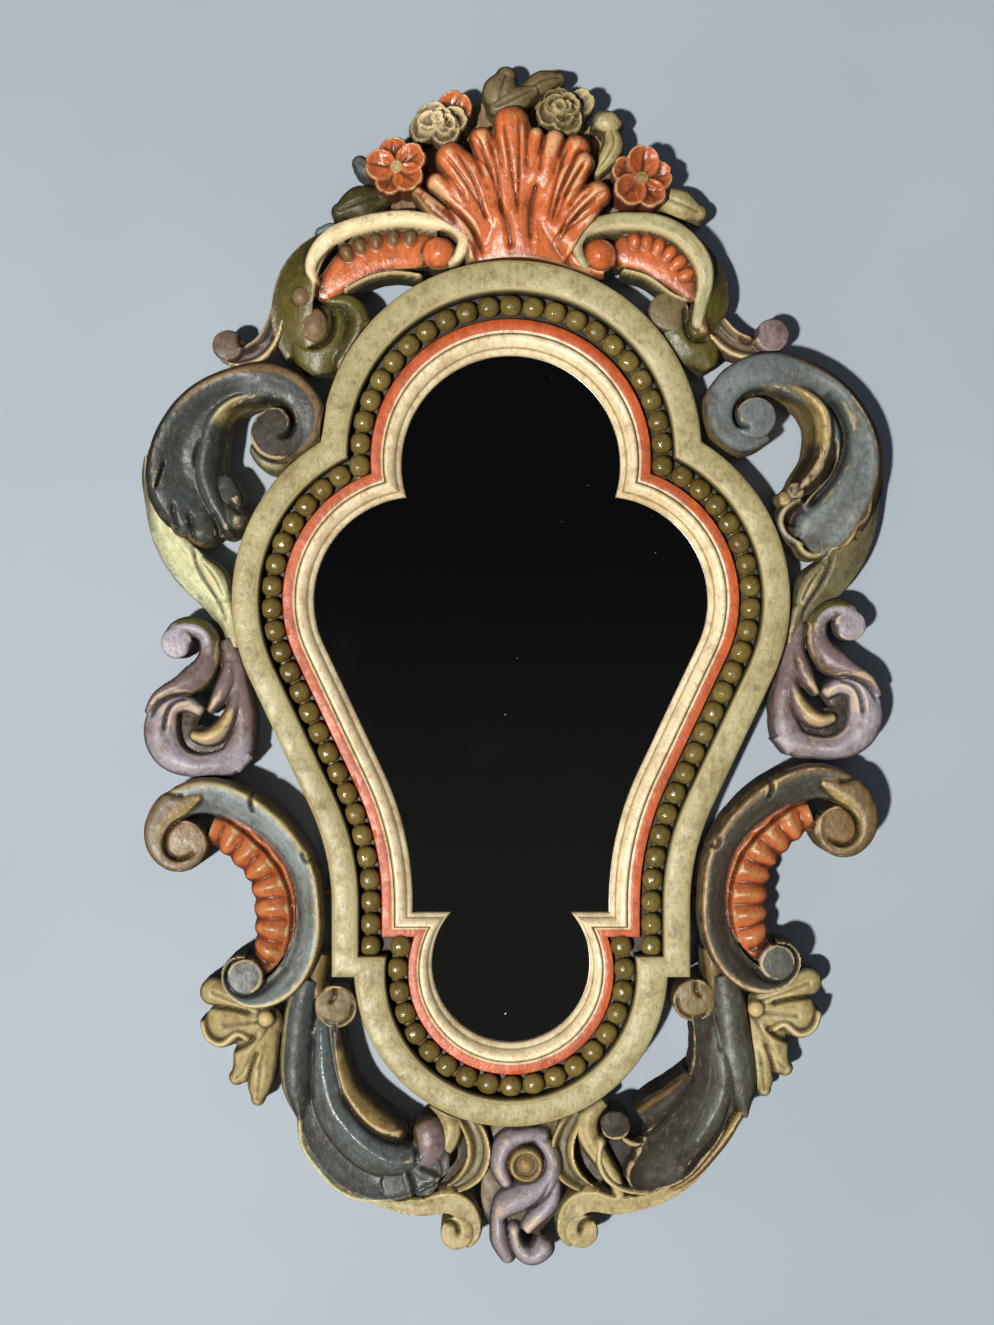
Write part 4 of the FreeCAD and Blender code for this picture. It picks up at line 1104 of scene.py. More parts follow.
def lower_forms(paint, rim, rim_from, eye):
    worn_eye = [(x, z, half + 0.2, depth + 0.5) for x, z, half, depth in LOWER_EYE]
    return [
        Band(LOWER_EYE + [
            (94, 73, 10, 38.5), (78, 77, 12, 38), (60, 71, 13.5, 38), (42, 59, 13.5, 38),
            (28, 44, 12.5, 37), (18.5, 28, 11, 37), (15, 10, 10, 37), (15, -8, 10, 36), (19, -24, 10, 36),
            (28, -38, 9.5, 36), (42, -46.5, 8, 36), (54, -47, 5.5, 36), (62.5, -41, 3.4, 36),
            (65, -33, 2.8, 36), (61, -25, 2.4, 35.5), (53, -23, 2.2, 35),
        ], lower_section, paint, rim, rim_from, -1, (0.0, 1.0)),
        Band(worn_eye + [
            (96, 72, 9.5, 38.8), (88, 75, 6, 38.4), (80, 78, 2.5, 37.5),
        ], plateau, "bronze", "gold", 0.2, 1, (0.25, 0.9)),
        Band([
            (75, 57, 9, 31), (63, 52, 11.5, 32), (51, 43, 12.5, 33), (41, 31, 13, 33), (36, 17, 13, 33),
            (35, 3, 13, 33), (36, -10, 12, 32), (40, -22, 9, 31), (45, -31, 6, 29),
        ], lobe, "russet", flutes=8, flute_depth=3.6, scallop=0.08),
        Boss(91.5, 49.5, 13.5, 35.5, 0.4, "bronze"),
        Boss(53, -34.5, 11, 34, 0.6, eye),
    ]


LOWER_GROOVES = [
    Groove([(47, 67), (49, 74), (46, 82)], 4.0, 1.5),
    Groove([(9, 40), (15, 38), (17, 44)], 3.5, 1.5),
    Groove([(90, 78), (98, 79), (104, 82)], 3.0, 1.4),
    Groove([(75, 64), (86, 65), (96, 61), (102, 52), (101, 43), (93, 38.5), (85, 42)], 4.5, 1.3),
    Groove([(80, 66), (66, 62.5), (49, 51), (34, 35), (25.5, 14), (25, -8), (31, -28)], 4.0, 1.2),
]
LOWER_BITES = [Bite(45, 84, 3.0), Bite(7.5, 37, 3.0), Bite(104, 84, 3.0)]
# The right lower scroll takes a darker slate and the left one a lighter slate: shaded and lit copies of one
# paint
LOWER_SCROLLS = [
    ("r", lower_forms("slate_dark", "tan", 0.52, "slate_dark"), 1, (0, 0)),
    ("l", lower_forms("slate_light", "straw", 0.62, "slate_deep"), -1, (0, -9)),
]
for side, forms, turned, shift in LOWER_SCROLLS:
    relief("lower_scroll_" + side, forms, AT_NECK, turned, shift, LOWER_GROOVES, LOWER_BITES, wall="tan",
           wear=1.2)

# Leaf spray below the lower scroll
pair("leaf_spray", [
    strand([(42, -16, 6, 23), (58, -10, 8, 26), (74, -4, 9, 25)], leaf, "straw"),
    strand([(40, -22, 9, 23), (54, -23, 12, 27), (66, -24, 13.5, 28)], leaf, "straw"),
    strand([
        (52, -33, 3, 28), (58, -29, 3.6, 30), (67, -35, 3.6, 30), (77, -31, 3.2, 29), (80, -23, 2.8, 28),
    ], crown, "straw"),
    strand([(40, -26, 9, 22), (49, -42, 12, 27), (55, -53, 9, 26), (60, -58, 5, 24)], leaf, "straw"),
    strand([(40, -26, 8, 21), (44, -50, 9.5, 26), (46, -66, 7, 24), (47, -72, 4.5, 21)], leaf, "straw"),
    Boss(41, -20, 5, 26, 3.0, "gold"),
], AT_STEP, (0, -6), grooves=[
    Groove([(50, -17), (62, -14), (78, -13)], 4.5, 1.4),
    Groove([(47, -31), (54, -37), (66, -41)], 5.0, 1.6),
    Groove([(46, -40), (51, -54), (53, -64)], 3.5, 1.4),
], bites=[Bite(68, -44, 3.0), Bite(82, -13, 3.0), Bite(56, -66, 3.0)], wall="olive", wear=1.2)

# Hook volute under the step of the ring
pair("hook_volute", [
    Band([(11, 18, 5, 24), (14.5, 4, 7, 27), (13, -9, 7, 29)], crown, "ochre"),
    Boss(2, -14, 13.2, 29, 0.6, "ochre"),
], AT_STEP, (5, -4), grooves=[
    Groove([(3, -2), (2.4, -5), (3.4, -9), (6.5, -12)], 2.5, 1.2),
    Groove(polar((2, -14), 10.4, np.linspace(165, 320, 8)), 1.8, 0.9),
])


# Base scrolls: a stalk over a broad hollow leaf, with a ridge along it and a thin edge below
def base_section(u, s):
    hollow = (0.04 + 0.12 * smoothstep(0.2, 0.8, s)) * (1.0 - u ** 2)
    return 1.0 - hollow - 0.06 * smoothstep(0.9, 1.0, np.abs(u))


def soft_ridge(u, s):
    return 1.0 - 0.32 * np.abs(u) ** 1.6


# The right base scroll takes dark brown paint on most of its leaf and on the low floor in its hollow:
# painted shade
relief("base_scroll_r", [
    Band([
        (20, 2, 8, 30), (23, -12, 10, 33), (25, -32, 11, 35), (28, -52, 11.5, 35), (31, -68, 9.5, 34),
        (33, -80, 5, 32), (34, -87, 2, 30),
    ], lobe, "slate_dark"),
    strand([
        (6, -14, 7, 28), (9, -30, 8.5, 31), (11, -44, 10, 32.5), (11, -61, 13, 33), (4, -85, 19, 33),
        (-7, -101, 20, 32), (-18, -114, 18, 31), (-28, -123, 12, 29),
    ], base_section, "soot"),
    strand([
        (17, -26, 9, 32), (19, -48, 13, 35), (20, -66, 14, 36), (14, -84, 13, 35), (4, -100, 9, 33),
    ], soft_ridge, "slate_dark"),
    Band([
        (0, -60, 4, 33), (-10, -72, 7, 34.5), (-20, -80, 8.5, 35), (-31, -87, 7.5, 34),
    ], lobe, "soot", "bronze", 0.5, -1),
    strand([(-45, -96, 3.2, 29), (-37, -103, 3.4, 29), (-27, -102, 3.5, 30)], crown, "soot"),
    Boss(-47, -91.5, 9.2, 30, 1.0, "soot"),
    Band([(-51, -103, 8, 17), (-42, -113, 10, 17), (-33, -121, 8, 17)], plateau, "soot"),
    strand([
        (31, -84, 3, 31), (24, -96, 4.4, 31), (13, -111, 4.4, 30), (1, -124, 3.8, 29), (-11, -132, 2.6, 28),
    ], crown, "bronze", "gold", 0.0, -1),
    strand([
        (-56, -102, 4, 32), (-57, -114, 3.2, 32), (-52, -125, 3, 32), (-41, -132, 2.6, 31),
        (-27, -134, 2.4, 30),
    ], crown, "straw"),
], AT_STEP, grooves=[
    Groove([(24, -75), (19, -93), (7, -108.5), (-5, -124)], 4.0, 1.2),
    Groove([(-38, -97), (-29, -97), (-20, -93), (-12, -84)], 3.0, 1.5),
    Groove([(14, -22), (17, -36), (18, -46)], 2.0, 2.2),
], bites=[Bite(38, -91, 3.0)], wall="umber")
relief("base_scroll_l", [
    Band([
        (22, 2, 8, 30), (27, -14, 9, 32), (29, -34, 10, 34), (30.5, -53, 9.5, 34), (29, -70, 8, 33),
        (27, -84, 3, 31),
    ], lobe, "slate_deep", "straw", 0.72, 1),
    strand([
        (8, -14, 7, 28), (12, -34, 9, 30), (14, -58, 14, 31), (11, -82, 18, 31), (0, -103, 20, 30.5),
        (-16, -116, 19, 30), (-34, -119, 16, 32), (-50, -116, 11, 33),
    ], base_section, "slate_deep"),
    # Lighter slate along the ridge: painted highlight
    strand([
        (14, -28, 9, 31), (12, -56, 14, 35), (5, -79, 16, 36.5), (-8, -95, 16, 37), (-22, -106, 15, 37),
        (-35, -110, 12, 36), (-46, -108, 8, 33.5),
    ], soft_ridge, "steel"),
    strand([
        (6, -28, 5, 30), (3, -52, 7, 32), (-2, -68, 8.5, 33.5), (-13, -83, 10, 35), (-24, -90, 9, 35.5),
        (-34, -93, 6, 34),
    ], soft_ridge, "umber", "gold", -0.1, -1, (0.2, 0.95)),
    strand([(-50, -112, 10, 31), (-54, -101, 11, 34), (-53, -94, 10, 34)], lobe, "mauve", "tan", 0.7, -1),
    Boss(-54, -111, 12, 30.5, 0.0, "slate_deep"),
    Boss(-48, -121, 11.5, 30, 0.0, "slate_deep"),
    Boss(-35, -125, 11.5, 29, 0.0, "slate_deep"),
    strand([
        (-27, -135, 2.4, 30), (-12, -135, 2.4, 30), (3, -129, 2.4, 30), (17, -115, 2.4, 30),
        (26, -99, 2.6, 31), (27, -86, 2.6, 32),
    ], crown, "mint"),
], AT_STEP, -1, (8, -3), grooves=[
    Groove([(-44, -134), (-43, -124), (-40, -117)], 3.0, 1.3),
    Groove([(-62, -121), (-54, -117), (-47, -114)], 3.0, 1.3),
    Groove([(-41, -90), (-45, -101), (-45, -112)], 4.0, 1.6),
    Groove([(-40, -99), (-30, -98.5), (-18, -92), (-8, -82), (2, -68)], 3.5, 1.8),
    Groove([(19, -34), (20, -56), (20, -74)], 3.0, 2.0),
], wall="umber")


# Rim round the foot, with a curl beside the pendant
def rim_section(u, s):
    return 1.0 - 0.05 * (1.0 - u ** 2) - 0.12 * smoothstep(0.78, 1.0, np.abs(u))


INNER_CURL = [
    (58, 16, 5, 28), (50, 8, 6, 29), (48, -3, 6.5, 30), (53, -14, 6, 30), (60, -25, 5, 29),
    (66, -36, 4.5, 28), (68, -45, 4, 27),
]
RIM_GROOVE = Groove([(58, -57), (50, -57), (44, -60), (43, -66)], 5.0, 1.5)
BASE_RIMS = [("r", "gold", INNER_CURL, 1, (0, 0)), ("l", "mint", INNER_CURL[:4], -1, (10, -1))]
for side, upper, curl, turned, shift in BASE_RIMS:
    relief("base_rim_" + side, [
        Band([
            (143, 9, 3, 22), (136, -1, 3.6, 23), (128, -13, 4, 23), (119, -26, 4.4, 23),
            (106, -37.5, 4.6, 24), (91, -45, 5, 25.5), (76, -48.5, 5.5, 27), (61, -48.5, 6.5, 28),
            (50, -46, 7.5, 29), (40.5, -49.5, 8, 29), (36, -58, 8, 29), (36, -66, 7, 29), (40, -72, 5, 28),
        ], rim_section, "straw", upper, -0.6, 1, (0.0, 0.36)),
        Band(curl, lobe, "straw"),
        Boss(44, -65, 10, 28.6, 0.4, "straw"),
        Band([(52, 8, 9, 15), (46, -8, 11, 15), (49, -24, 10, 15), (56, -38, 7, 15)], plateau, "umber"),
    ], AT_FOOT, turned, shift, [RIM_GROOVE], wall="straw")

# Crescent beside the pendant
pair("pendant_curl", [
    Band([
        (42, 8, 5.5, 26), (34, -5, 7, 28), (32, -18, 7.5, 29), (36, -29, 7, 28), (45, -37, 4.5, 26),
        (51, -40, 3, 25),
    ], cavetto, "straw"),
], AT_FOOT, (12, 0))

# Pendant: strands that cross below a ringed boss, with a lobe and a curl at the foot
relief("pendant", [
    Band([
        (9, 6, 21, 21), (8, -20, 23, 21), (6, -42, 25, 21), (4, -56, 22, 21), (3, -68, 14, 21),
    ], plateau, "ochre"),
    strand([
        (20, -6, 5, 29), (8, -5, 6.5, 32), (-3, -11, 7, 33), (-7, -22, 6.5, 33), (-3, -34, 5, 31),
    ], crown, "lavender"),
    strand([
        (17, -7, 5, 29), (24.5, -16, 6, 32), (25.5, -27, 7, 33), (18, -37, 8.5, 35), (6, -43, 9, 36),
        (-4, -50, 7.5, 34), (-8, -56, 5, 31),
    ], crown, "lavender"),
    strand([(28, -36, 4.5, 29), (25.5, -45, 6, 32), (18, -54, 6, 33), (10, -63, 5, 31)], crown, "lavender"),
    strand([(-8, -58, 5, 31), (-7, -70, 6.5, 32), (-2, -81, 5.5, 30)], crown, "lavender"),
    strand([(2, -64, 5, 31), (5, -75, 6, 32), (13, -80, 7.5, 33), (20, -76, 7.5, 33)], crown, "lavender"),
    Boss(9.4, -22.8, 10.5, 30, 0.0, "gold", 3.0),
    Boss(9.4, -22.8, 5.0, 30, 3.5, "gold"),
], AT_FOOT, grooves=[
    Groove([(7, -64), (8, -69), (11, -73)], 8.0, 1.8),
    Groove([(24, -32), (18, -44), (8, -53)], 2.0, 1.2),
], wall="mauve")

# Crest shell: an open leaf of lobes that part towards their tips, each tip with x, z and half width
SHELL_TIPS = [
    (-46, 46, 6.5), (-37, 61, 10), (-18, 73, 8), (0, 82, 11.5), (15, 75, 6), (27, 72, 6.5),
    (40, 67, 9), (44, 58, 7.5), (40, 46, 7), (53, 38, 9), (47, 26, 7.5),
]
FOOT_X = 8.0


def ray(u, s):
    return 1.0 - (0.015 + 0.15 * smoothstep(0.62, 1.0, s)) * u ** 2 - 0.02 * u ** 8


shell = [
    strand([(9, -6, 30, 32), (8, 12, 27, 36), (5, 28, 23, 37.5)], lobe, "copper"),
    strand([
        (-58, 41, 4.5, 36), (-48, 31, 7, 38), (-37, 22, 7.5, 37), (-28, 13, 6.5, 35), (-24, 1, 5, 32),
    ], lobe, "copper_dark", "gold", 0.5, -1),
    Band([(37, 12, 3.5, 31), (38, 1, 4.5, 32), (46, -6, 4.5, 31), (58, -8, 3.5, 29)], lobe, "copper"),
]
for number, (tip_x, tip_z, width) in enumerate(SHELL_TIPS):
    spread = tip_x - FOOT_X
    lift = 1.5 * (-1) ** number
    stations = [
        (FOOT_X + 0.40 * spread, 0.12 * tip_z + 4, 13, 31),
        (FOOT_X + 0.54 * spread, 0.50 * tip_z, 12.5, 37),
        (FOOT_X + 0.78 * spread, 0.80 * tip_z, 1.25 * width, 40 - lift),
        (tip_x, tip_z, width, 42 - lift),
    ]
    shell.append(strand(stations, ray, "copper"))
shell_cuts = []
SHELL_CUT_SHARES = [(1.08, 1.08), (0.80, 0.80), (0.72, 0.68)]
for (left_x, left_z, left_r), (right_x, right_z, right_r) in zip(SHELL_TIPS, SHELL_TIPS[1:]):
    share = left_r / (left_r + right_r)
    end_x, end_z = left_x + share * (right_x - left_x), left_z + share * (right_z - left_z)
    points = [(FOOT_X + across * (end_x - FOOT_X), up * end_z) for across, up in SHELL_CUT_SHARES]
    shell_cuts.append(Groove(points, 1.6, 1.7))
for tip_x, tip_z, width in SHELL_TIPS:
    if width > 7:
        for lean in (-0.3, 0.25):
            inner = (FOOT_X + (0.5 + 0.1 * lean) * (tip_x - FOOT_X), 0.34 * tip_z)
            middle = (FOOT_X + 0.74 * (tip_x - FOOT_X) + lean * width, 0.74 * tip_z)
            outer = (tip_x + 1.6 * lean * width, 1.02 * tip_z)
            shell_cuts.append(Groove([inner, middle, outer], 1.5, 1.1))
# Raised wear on the shell puts more gold on its crests: rubbed gilt and painted highlight
relief("crest_shell", shell, AT_APEX, grooves=shell_cuts + [
    Groove([(16, 46), (12, 28), (12, 8)], 2.4, 2.2),
    Groove([(-9, 36), (-3, 22), (0, 4)], 2.4, 2.4),
    Groove([(-52, 42), (-38, 31), (-24, 17), (-18, 4)], 4.5, 1.6),
], floor=CREST_FLOOR, wall="copper_dark", wear=1.9)


# Crest scrolls: a rim that curls round a ball, a slope outside it, and a panel with knuckles inside it
def slope_section(u, s):
    return 1.0 - 0.30 * smoothstep(-0.8, 1.0, u)


def crest_scroll(side, rim, slope, panel, edge, ball_x, ball_z, knuckles, knuckle_paint):
    flip = 1 if side == "r" else -1
    forms = [
        # Low dark umber floor between the ball and the panel: painted shade
        Band([(flip * 46, 8, 11, 16), (flip * 60, 8, 12, 16), (flip * 76, 8, 12, 16)], plateau, "umber"),
        Band(slope, slope_section if side == "r" else lambda u, s: slope_section(-u, s), "olive"),
        strand(panel, plateau, "copper"),
        strand(edge, crown, "straw"),
        strand(rim, plateau, "pale" if side == "r" else "ivory"),
        Boss(ball_x, ball_z, 10.5, 29, 7.0, "copper"),
    ]
    for x, z, turn in knuckles:
        forms.append(Boss(x, z, 6.5, 28.3, 2.6, knuckle_paint, stretch=0.62, turn=turn))
    relief("crest_scroll_" + side, forms, AT_APEX, wall="olive_dark", wear=1.3)


crest_scroll(
    "r",
    rim=[
        (46, -5, 3, 32), (42, 2, 3.5, 33), (41, 9, 4, 34), (44, 15.5, 4.6, 35), (52, 19.5, 5, 36),
        (62, 22, 5.4, 36.5), (76, 22.5, 5.6, 37), (90, 21, 5.8, 37), (102, 16, 5.8, 37),
        (111, 8.5, 5.8, 37), (117.5, 0, 5.6, 36), (120.5, -10, 5.2, 35), (120, -20, 4.6, 33),
        (117.5, -30, 4.2, 32), (116, -40, 4, 31),
    ],
    slope=[
        (96, 20, 5, 27), (111, 12, 7, 28), (121, 0, 8, 29), (127, -14, 8.5, 30), (127, -28, 9, 30),
        (121, -41, 8, 29),
    ],
    panel=[
        (76, 6, 11.5, 28), (86, 4, 12.5, 28.5), (96, -2, 12.5, 28.5), (105, -10, 10.5, 28),
        (112, -19, 7, 27),
    ],
    edge=[
        (71, -7, 2.2, 29), (82, -10, 2.4, 30), (91, -15, 2.4, 30), (101, -22, 2.2, 29), (109, -25, 2, 28),
    ],
    ball_x=55,
    ball_z=2,
    knuckles=[(77, 12, 0), (84.5, 11, -6), (92, 8.5, -18), (99, 4, -36), (104.5, -2, -50), (109, -10, -64)],
    knuckle_paint="copper",
)
crest_scroll(
    "l",
    rim=[
        (-37, -3, 3.2, 32), (-31, 4, 4, 33), (-29.5, 11.5, 4.4, 35), (-35, 18.5, 4.8, 36),
        (-48, 22, 5, 36.5), (-63, 24, 5.2, 37), (-82, 22.5, 5.4, 37), (-100, 18, 5.6, 37),
        (-113, 11, 5.6, 37), (-121, 2.5, 4.6, 36), (-124, -8, 3.4, 35), (-122, -14, 2.6, 34),
    ],
    slope=[
        (-106, 18, 5, 29), (-120, 8, 8.5, 32), (-131, -7, 12, 33), (-136, -25, 13.5, 32),
        (-136, -43, 13, 29), (-131, -57, 11, 26),
    ],
    panel=[
        (-56, 6, 11, 28), (-70, 6.5, 12.5, 28.5), (-85, 4, 13, 28.5), (-98, -3, 12.5, 28),
        (-108, -11, 10, 27), (-116, -19, 7, 25),
    ],
    edge=[(-103, -19, 2.2, 29), (-88, -11.5, 2.4, 30), (-71, -8.5, 2.4, 30), (-57, -10, 2.2, 29)],
    ball_x=-44.5,
    ball_z=3.3,
    knuckles=[(-102.5, 4, 30), (-94, 8.5, 20), (-84, 11, 8), (-73, 13, 0), (-62.5, 13.5, -6)],
    knuckle_paint="bronze",
)

# Crest leaves and ear curls, drawn for each side
relief("crest_leaf_r", [
    Boss(98.5, -32, 12.5, 25.5, 1.5, "leaf"),
    Band([(96, -34, 10, 25), (106, -45, 13, 26), (116, -54, 15, 26), (125, -67, 6, 23)], lobe, "olive"),
    strand([(119, -24, 5, 28), (117.5, -35, 6.5, 31), (119, -43, 6, 30)], crown, "bronze"),
], AT_APEX, grooves=[Groove([(109, -28), (109, -40), (113, -49), (124, -49)], 5.0, 1.8)], wall="olive")
relief("crest_leaf_l", [
    Band([
        (-106, -30, 10, 23), (-113, -42, 17, 26), (-119, -55, 19, 26.5), (-118, -71, 9, 23),
    ], lobe, "olive"),
    Boss(-122.5, -41, 10.5, 28, 4.5, "tan", stretch=0.78),
    Boss(-130, -24, 7, 30.5, 4.0, "tan"),
    strand([
        (-112, -26, 3.5, 27), (-101, -27, 6, 29), (-94.5, -36, 7, 30), (-97, -49, 7.5, 29),
        (-105, -62, 7, 27),
    ], lobe, "olive", "olive_dark", 0.3, -1),
], AT_APEX, grooves=[
    Groove([(-112, -29), (-110.5, -41), (-114, -50), (-123, -54), (-132, -51)], 5.0, 1.6),
    Groove([(-138, -27), (-133, -31.5), (-127, -31), (-122, -28)], 3.0, 1.3),
], wall="olive")
relief("ear_curl_r", [
    Band([
        (128, -40, 8, 23), (139, -51, 8, 25), (151, -55, 7, 25), (161, -56, 4, 25),
    ], cavetto, "tan", "rose", 0.45, -1),
    Boss(163, -47, 10.5, 25.5, 0.8, "mauve"),
], AT_APEX, grooves=[Groove([(142, -46), (150, -50), (153, -45), (152, -39)], 4.0, 1.6)], wall="tan")
relief("ear_curl_l", [
    Band([
        (-146, -28, 4, 22), (-149, -43, 6, 24), (-157, -55, 7, 25), (-167, -60, 6.5, 25),
        (-177, -61, 4, 25),
    ], cavetto, "mauve", "rose", 0.45, 1),
    Boss(-177, -53, 9.5, 25, 1.0, "brown"),
], AT_APEX, grooves=[Groove([(-158, -51), (-166, -55), (-169, -50), (-168, -44)], 4.0, 1.6)], wall="rose")

# Flowers, roses, leaves and a bud round the shell
FLOWER_DEPTH, ROSE_DEPTH, ROSE_RADIUS = 37, 40, 16
FLOWERS = [("flower_l", -71, 56, 18.5, 100, "copper"), ("flower_r", 81, 49, 19.5, 84, "russet")]
for node, x, z, radius, turn, paint in FLOWERS:
    relief(node, open_flower(x, z, radius, FLOWER_DEPTH, turn, paint), AT_APEX, floor=CREST_FLOOR,
        wall="copper_dark")
ROSES = [
    ("rose_l", -45, 84, 24, "rose", 1.5, 0.75, Petal(-35, 94, 11, 27, 3.5, 1.5, 1.1, "copper", "rose")),
    ("rose_r", 32, 92, 110, "straw", 1.15, 0.9, Petal(44, 98, 8.5, 26, 3.0, 1.5, 0.7, "straw", "rose")),
]
for node, x, z, turn, paint, wide, tall, loose in ROSES:
    rose = full_rose(x, z, ROSE_RADIUS, ROSE_DEPTH, turn, paint, wide, tall)
    relief(node, rose + [loose], AT_APEX, floor=CREST_FLOOR, wall="tan")
SPRIGS = [
    ("leaf_top_l", [(-7, 96, 9, 26), (-6, 106, 12, 28), (-3, 116, 7, 24)], CREST_FLOOR, "leaf"),
    ("leaf_top_r", [(10, 106, 6, 24), (20, 112, 8, 26), (30, 115, 5, 22)], CREST_FLOOR, "leaf"),
    ("leaf_top_c", [(-9, 95, 6, 28), (3, 100, 8.5, 30), (14, 106, 5, 27)], CREST_FLOOR, "leaf"),
    ("leaf_olive_l", [(-82, 40, 7, 22), (-94, 37, 11, 25), (-107, 32, 6, 21)], 0.0, "olive_dark"),
    ("leaf_small_l", [(-86, 56, 6, 22), (-91, 59, 6.5, 23), (-95, 63, 5, 20)], 0.0, "slate"),
    ("leaf_blue_l", [(-106, 16, 5, 18), (-113, 19, 6.5, 21), (-119, 19, 4.5, 18)], 0.0, "slate_blue"),
    ("leaf_r", [(95, 40, 8, 23), (106, 35, 10, 26), (117, 31, 6.5, 21)], 0.0, "straw"),
    ("leaf_curl_r", [(54, 56, 4, 25), (60, 64, 6.5, 28), (64, 73, 7, 29), (62, 81, 5.5, 27)], CREST_FLOOR,
        "straw"),
]
for node, stations, floor, paint in SPRIGS:
    relief(node, [strand(stations, leaf, paint)], AT_APEX, floor=floor, wall=paint)
relief("bud_r", [
    Boss(60, 86, 7.5, 25, 4.0, "straw", stretch=1.2, turn=-25),
    strand([(52, 83, 2.5, 26), (56, 89, 3.2, 29), (63, 90, 3.2, 29), (68, 85, 2.5, 27)], crown, "leaf"),
], AT_APEX, floor=CREST_FLOOR, wall="leaf")


# Materials of the solids that stay as they are
def plain_wood(name, base, dark, rough):
    make = Shader(name)
    grain = make.noise(60.0, 6.0, 0.6, (6.0, 6.0, 0.5))
    blotch = make.noise(18.0, 4.0, 0.6)
    fine = make.noise(700.0, 2.0, 0.5, (5.0, 5.0, 0.6))
    colour = make.mix(make.ramp(grain, 0.35, 0.68), base, dark)
    colour = make.mix(make.ramp(blotch, 0.4, 0.75, 0.0, 0.5), colour, dark)
    make.look(Base_Color=colour, Roughness=make.ramp(fine, 0.3, 0.7, rough - 0.08, rough + 0.1))
    make.bump(make.maths("ADD", grain, fine), 0.3, 0.0006)
    return make.material


def worn_metal(name, base, dull, rough):
    make = Shader(name)
    patina = make.noise(180.0, 6.0, 0.65)
    scratch = make.noise(900.0, 2.0, 0.5, (1.0, 1.0, 8.0))
    make.look(Base_Color=make.mix(make.ramp(patina, 0.38, 0.7), base, dull), Metallic=1.0)
    make.look(Roughness=make.ramp(patina, 0.3, 0.7, rough, rough + 0.25))
    make.bump(scratch, 0.15, 0.0002)
    return make.material


SILVER, DUST = (0.86, 0.88, 0.87, 1.0), (0.30, 0.29, 0.26, 1.0)


def silvered_glass():
    make = Shader("old_mirror")
    specks = make.noise(420.0, 2.0, 0.5)
    haze = make.noise(14.0, 5.0, 0.6)
    dust = make.ramp(specks, 0.76, 0.82, 0.0, 0.35)
    make.look(Base_Color=make.mix(dust, SILVER, DUST), Metallic=1.0)
    rough = make.ramp(haze, 0.45, 0.8, 0.015, 0.06)
    make.look(Roughness=make.maths("ADD", rough, dust))
    return make.material


BOARD = plain_wood("aged_board", (0.30, 0.19, 0.10, 1.0), (0.13, 0.075, 0.035, 1.0), 0.62)
BRASS = worn_metal("dull_brass", (0.62, 0.44, 0.17, 1.0), (0.20, 0.13, 0.05, 1.0), 0.32)
STEEL = worn_metal("dull_steel", (0.40, 0.38, 0.35, 1.0), (0.12, 0.09, 0.07, 1.0), 0.38)
GLASS = silvered_glass()
KEPT = {
    "mirror_glass": GLASS, "backing_board": BOARD, "dowels": BOARD, "crest_block": BOARD,
    "hanger_plate": BRASS, "hanger_ring": BRASS, "hanger_screws": STEEL, "brads": STEEL,
}
for node, material in KEPT.items():
    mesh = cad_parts[node].data
    mesh.materials.clear()
    mesh.materials.append(material)


# Stage, in metres: a pale wall just behind the hanger, seen from the front only
WALL_DARK, WALL_LIGHT = (0.365, 0.428, 0.50, 1), (0.395, 0.46, 0.535, 1)
WALL_Y, WALL_HALF = 0.0045, 4.0
ROOM_Y, ROOM_HALF = -5.0, 5.0


def wall_material():
    make = Shader("pale_wall")
    path = make.node("ShaderNodeLightPath")
    shape = make.node("ShaderNodeNewGeometry")
    faint = make.noise(3.0, 3.0, 0.5)
    make.look(Base_Color=make.mix(make.ramp(faint, 0.3, 0.7), WALL_DARK, WALL_LIGHT))
    make.look(Roughness=0.9, Specular_IOR_Level=0.1)
    front = make.maths("SUBTRACT", 1.0, shape.outputs["Backfacing"])
    shown = make.maths("MULTIPLY", path.outputs["Is Camera Ray"], front)
    mixer = make.node("ShaderNodeMixShader")
    clear = make.node("ShaderNodeBsdfTransparent")
    make.feed(mixer, {0: shown, 1: clear.outputs[0], 2: make.surface.outputs[0]})
    make.show(mixer)
    return make.material


def upright_sheet(name, y, half, material, z):
    mesh = bpy.data.meshes.new(name)
    corners = [(-half, y, z - half), (half, y, z - half), (half, y, z + half), (-half, y, z + half)]
    mesh.from_pydata(corners, [], [(0, 1, 2, 3)])
    mesh.materials.append(material)
    sheet = bpy.data.objects.new(name, mesh)
    bpy.context.scene.collection.objects.link(sheet)
    return sheet


# Middle of the view, and the wall behind it
CENTRE_X, CENTRE_Z = -8.75 * MM, 23.4 * MM + DROP_Z
upright_sheet("wall", WALL_Y, WALL_HALF, wall_material(), CENTRE_Z)


# Glowing sheet in front, seen only in the mirror and the gloss: a painted reflection, dark, and a little
# lighter low down
ROOM_DARK, ROOM_GLOW = (0.004, 0.004, 0.005, 1.0), (0.012, 0.012, 0.011, 1.0)


def reflection_sheet_material():
    make = Shader("painted_reflection")
    place = make.node("ShaderNodeTexCoord").outputs["Generated"]
    split = make.node("ShaderNodeSeparateXYZ")
    make.set(split.inputs["Vector"], place)
    glow = make.ramp(split.outputs["Z"], 0.56, 0.40, 0.0, 1.0)
    light = make.node("ShaderNodeEmission")
    make.set(light.inputs["Color"], make.mix(glow, ROOM_DARK, ROOM_GLOW))
    make.show(light)
    return make.material


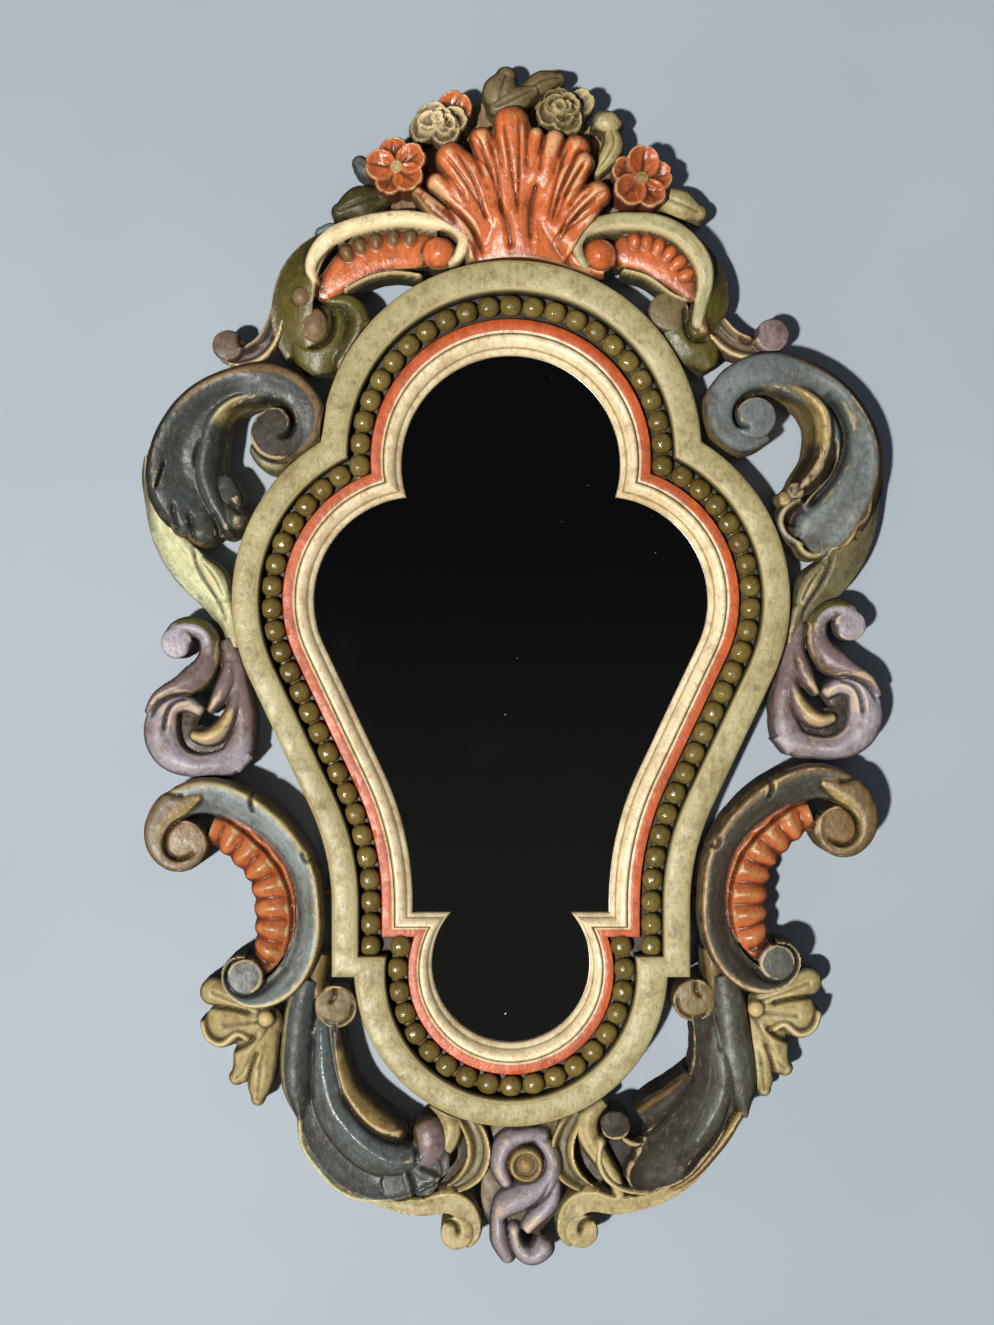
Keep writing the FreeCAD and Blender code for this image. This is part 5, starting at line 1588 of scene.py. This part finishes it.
reflection_sheet = upright_sheet("reflection_sheet", ROOM_Y, ROOM_HALF, reflection_sheet_material(), CENTRE_Z)
reflection_sheet.visible_camera = False
reflection_sheet.visible_diffuse = False
reflection_sheet.visible_shadow = False


def lamp(name, place, target, size, power, colour):
    data = bpy.data.lights.new(name, "AREA")
    data.shape = "DISK"
    data.size = size
    data.energy = power
    data.color = colour
    made = bpy.data.objects.new(name, data)
    made.location = place
    made.rotation_euler = (Vector(target) - Vector(place)).to_track_quat("-Z", "Y").to_euler()
    bpy.context.scene.collection.objects.link(made)


# Lamps: a hard warm key from the lower left and a faint cool fill from the upper right
TARGET = (CENTRE_X, -0.02, CENTRE_Z)
KEY_PLACE, KEY_SIZE, KEY_POWER = (CENTRE_X - 1.25, -3.70, CENTRE_Z - 0.87), 0.20, 198.0
FILL_PLACE, FILL_SIZE, FILL_POWER = (CENTRE_X + 1.3, -1.6, CENTRE_Z + 1.2), 1.4, 2.0
KEY_COLOUR, FILL_COLOUR = (1.0, 0.95, 0.88), (0.85, 0.92, 1.0)
SKY_COLOUR, SKY_STRENGTH = (0.62, 0.68, 0.75, 1.0), 0.09
lamp("key", KEY_PLACE, TARGET, KEY_SIZE, KEY_POWER, KEY_COLOUR)
lamp("fill", FILL_PLACE, TARGET, FILL_SIZE, FILL_POWER, FILL_COLOUR)

world = bpy.data.worlds.new("studio")
bpy.context.scene.world = world
world.use_nodes = True
sky = world.node_tree.nodes["Background"]
sky.inputs["Color"].default_value = SKY_COLOUR
sky.inputs["Strength"].default_value = SKY_STRENGTH

# Camera at the photograph's angle: level, straight in front
VIEW_DISTANCE, VIEW_HEIGHT, FACE_Y = 1.15, 828 * MM, -0.025
camera_data = bpy.data.cameras.new("camera")
camera_data.sensor_fit = "VERTICAL"
camera_data.angle = 2 * math.atan(VIEW_HEIGHT / 2 / VIEW_DISTANCE)
camera = bpy.data.objects.new("camera", camera_data)
camera.location = (CENTRE_X, FACE_Y - VIEW_DISTANCE, CENTRE_Z)
camera.rotation_euler = (math.pi / 2, 0.0, 0.0)
bpy.context.scene.collection.objects.link(camera)
bpy.context.scene.camera = camera
bpy.context.scene.view_settings.view_transform = "Standard"
